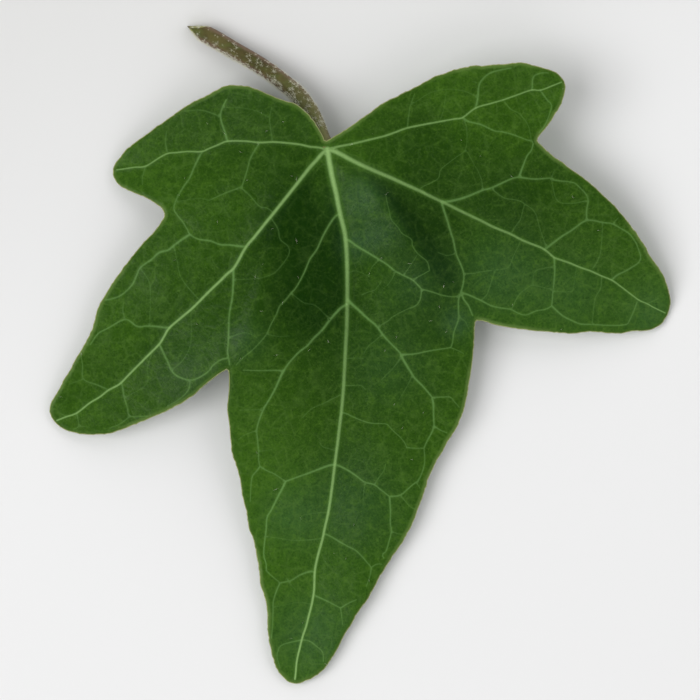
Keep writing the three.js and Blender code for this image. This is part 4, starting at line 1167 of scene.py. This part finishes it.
# ---------------------------------------------------------------- the pieces
solid_leaf = Solid(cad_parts["ivy_leaf"])
blade = make_blade(solid_leaf, all_veins())
blade.data.materials.append(leaf_skin())
stalk = make_stalk(stalk_line(solid_leaf))
stalk.data.materials.append(stalk_skin())
star_hair = model_hair()
star_hair.data.materials.append(hair_finish())
stalk_hairs = place_hairs("stalk_hairs", star_hair, spots_on_stalk(stalk))
blade_hairs = place_hairs("blade_hairs", star_hair, spots_on_blade(blade), FLATNESS)
bpy.data.objects.remove(star_hair)
for piece, slot in ((blade, "leaf_blade"), (stalk, "leaf_stalk"),
                    (stalk_hairs, "leaf_hair"), (blade_hairs, "leaf_hair")):
    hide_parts("ivy_leaf")
    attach(piece, "root")

# ---------------------------------------------------------------- floor, light and camera
FLOOR_SIZE = 3.0
VIEW_WIDTH = 70.0  # millimetres across the view, at the height of the floor
VIEW_CENTRE = Vector((-1.0, 0.5))
CAMERA_HEIGHT = 0.9


def make_floor():
    """A pale surface under the leaf, with painted shade that darkens it towards the back."""
    bpy.ops.mesh.primitive_plane_add(size=FLOOR_SIZE)
    floor = bpy.context.object
    floor.name = "floor"
    paper = Finish("pale_board", Roughness=0.9, Specular_IOR_Level=0.1)
    towards_back = paper.node("ShaderNodeVectorMath", {"operation": "DOT_PRODUCT"},
                              {0: paper.spot, 1: (-0.5, 1.0, 0.0)}, "Value")
    # painted shade: the board's colour darkens towards the back, as the light falls off
    painted_light_falloff = towards_back.rise(0, 70)
    paper.feed(paper.shader.inputs["Base Color"], paper.mix((0.77, 0.77, 0.77), (0.66, 0.66, 0.65), painted_light_falloff))
    floor.data.materials.append(paper.material)


def make_light(name, size, power, azimuth, elevation, distance=1.2):
    """A square soft light aimed at the leaf."""
    light = bpy.data.lights.new(name, "AREA")
    light.shape, light.size, light.energy = "SQUARE", size, power
    lamp = bpy.data.objects.new(name, light)
    bpy.context.scene.collection.objects.link(lamp)
    around, up = math.radians(azimuth), math.radians(elevation)
    aim = Vector((math.cos(around) * math.cos(up), math.sin(around) * math.cos(up), math.sin(up)))
    lamp.location = aim * distance
    lamp.rotation_euler = aim.to_track_quat("Z", "Y").to_euler()
    return lamp


def make_camera():
    data = bpy.data.cameras.new("camera")
    data.sensor_width = 36.0
    data.lens = data.sensor_width * CAMERA_HEIGHT / (VIEW_WIDTH * MM)
    camera = bpy.data.objects.new("camera", data)
    bpy.context.scene.collection.objects.link(camera)
    camera.location = ((VIEW_CENTRE + SHIFT.xy) * MM).to_3d() + Vector((0, 0, CAMERA_HEIGHT))
    bpy.context.scene.camera = camera


make_floor()
make_light("window", 0.9, 9.1, 187, 54).visible_glossy = False  # its gloss comes from lower down
make_light("window_foot", 0.45, 1.5, 187, 36)
for wall, azimuth in (("far_wall", 0), ("near_wall", -100), ("back_wall", 90)):
    make_light(wall, 1.6, 8.7, azimuth, 30).visible_glossy = False
make_camera()
world = bpy.data.worlds.new("room")
world.use_nodes = True
world.node_tree.nodes["Background"].inputs["Color"].default_value = (0.055, 0.055, 0.055, 1.0)
bpy.context.scene.world = world
bpy.context.scene.view_settings.view_transform = "Standard"
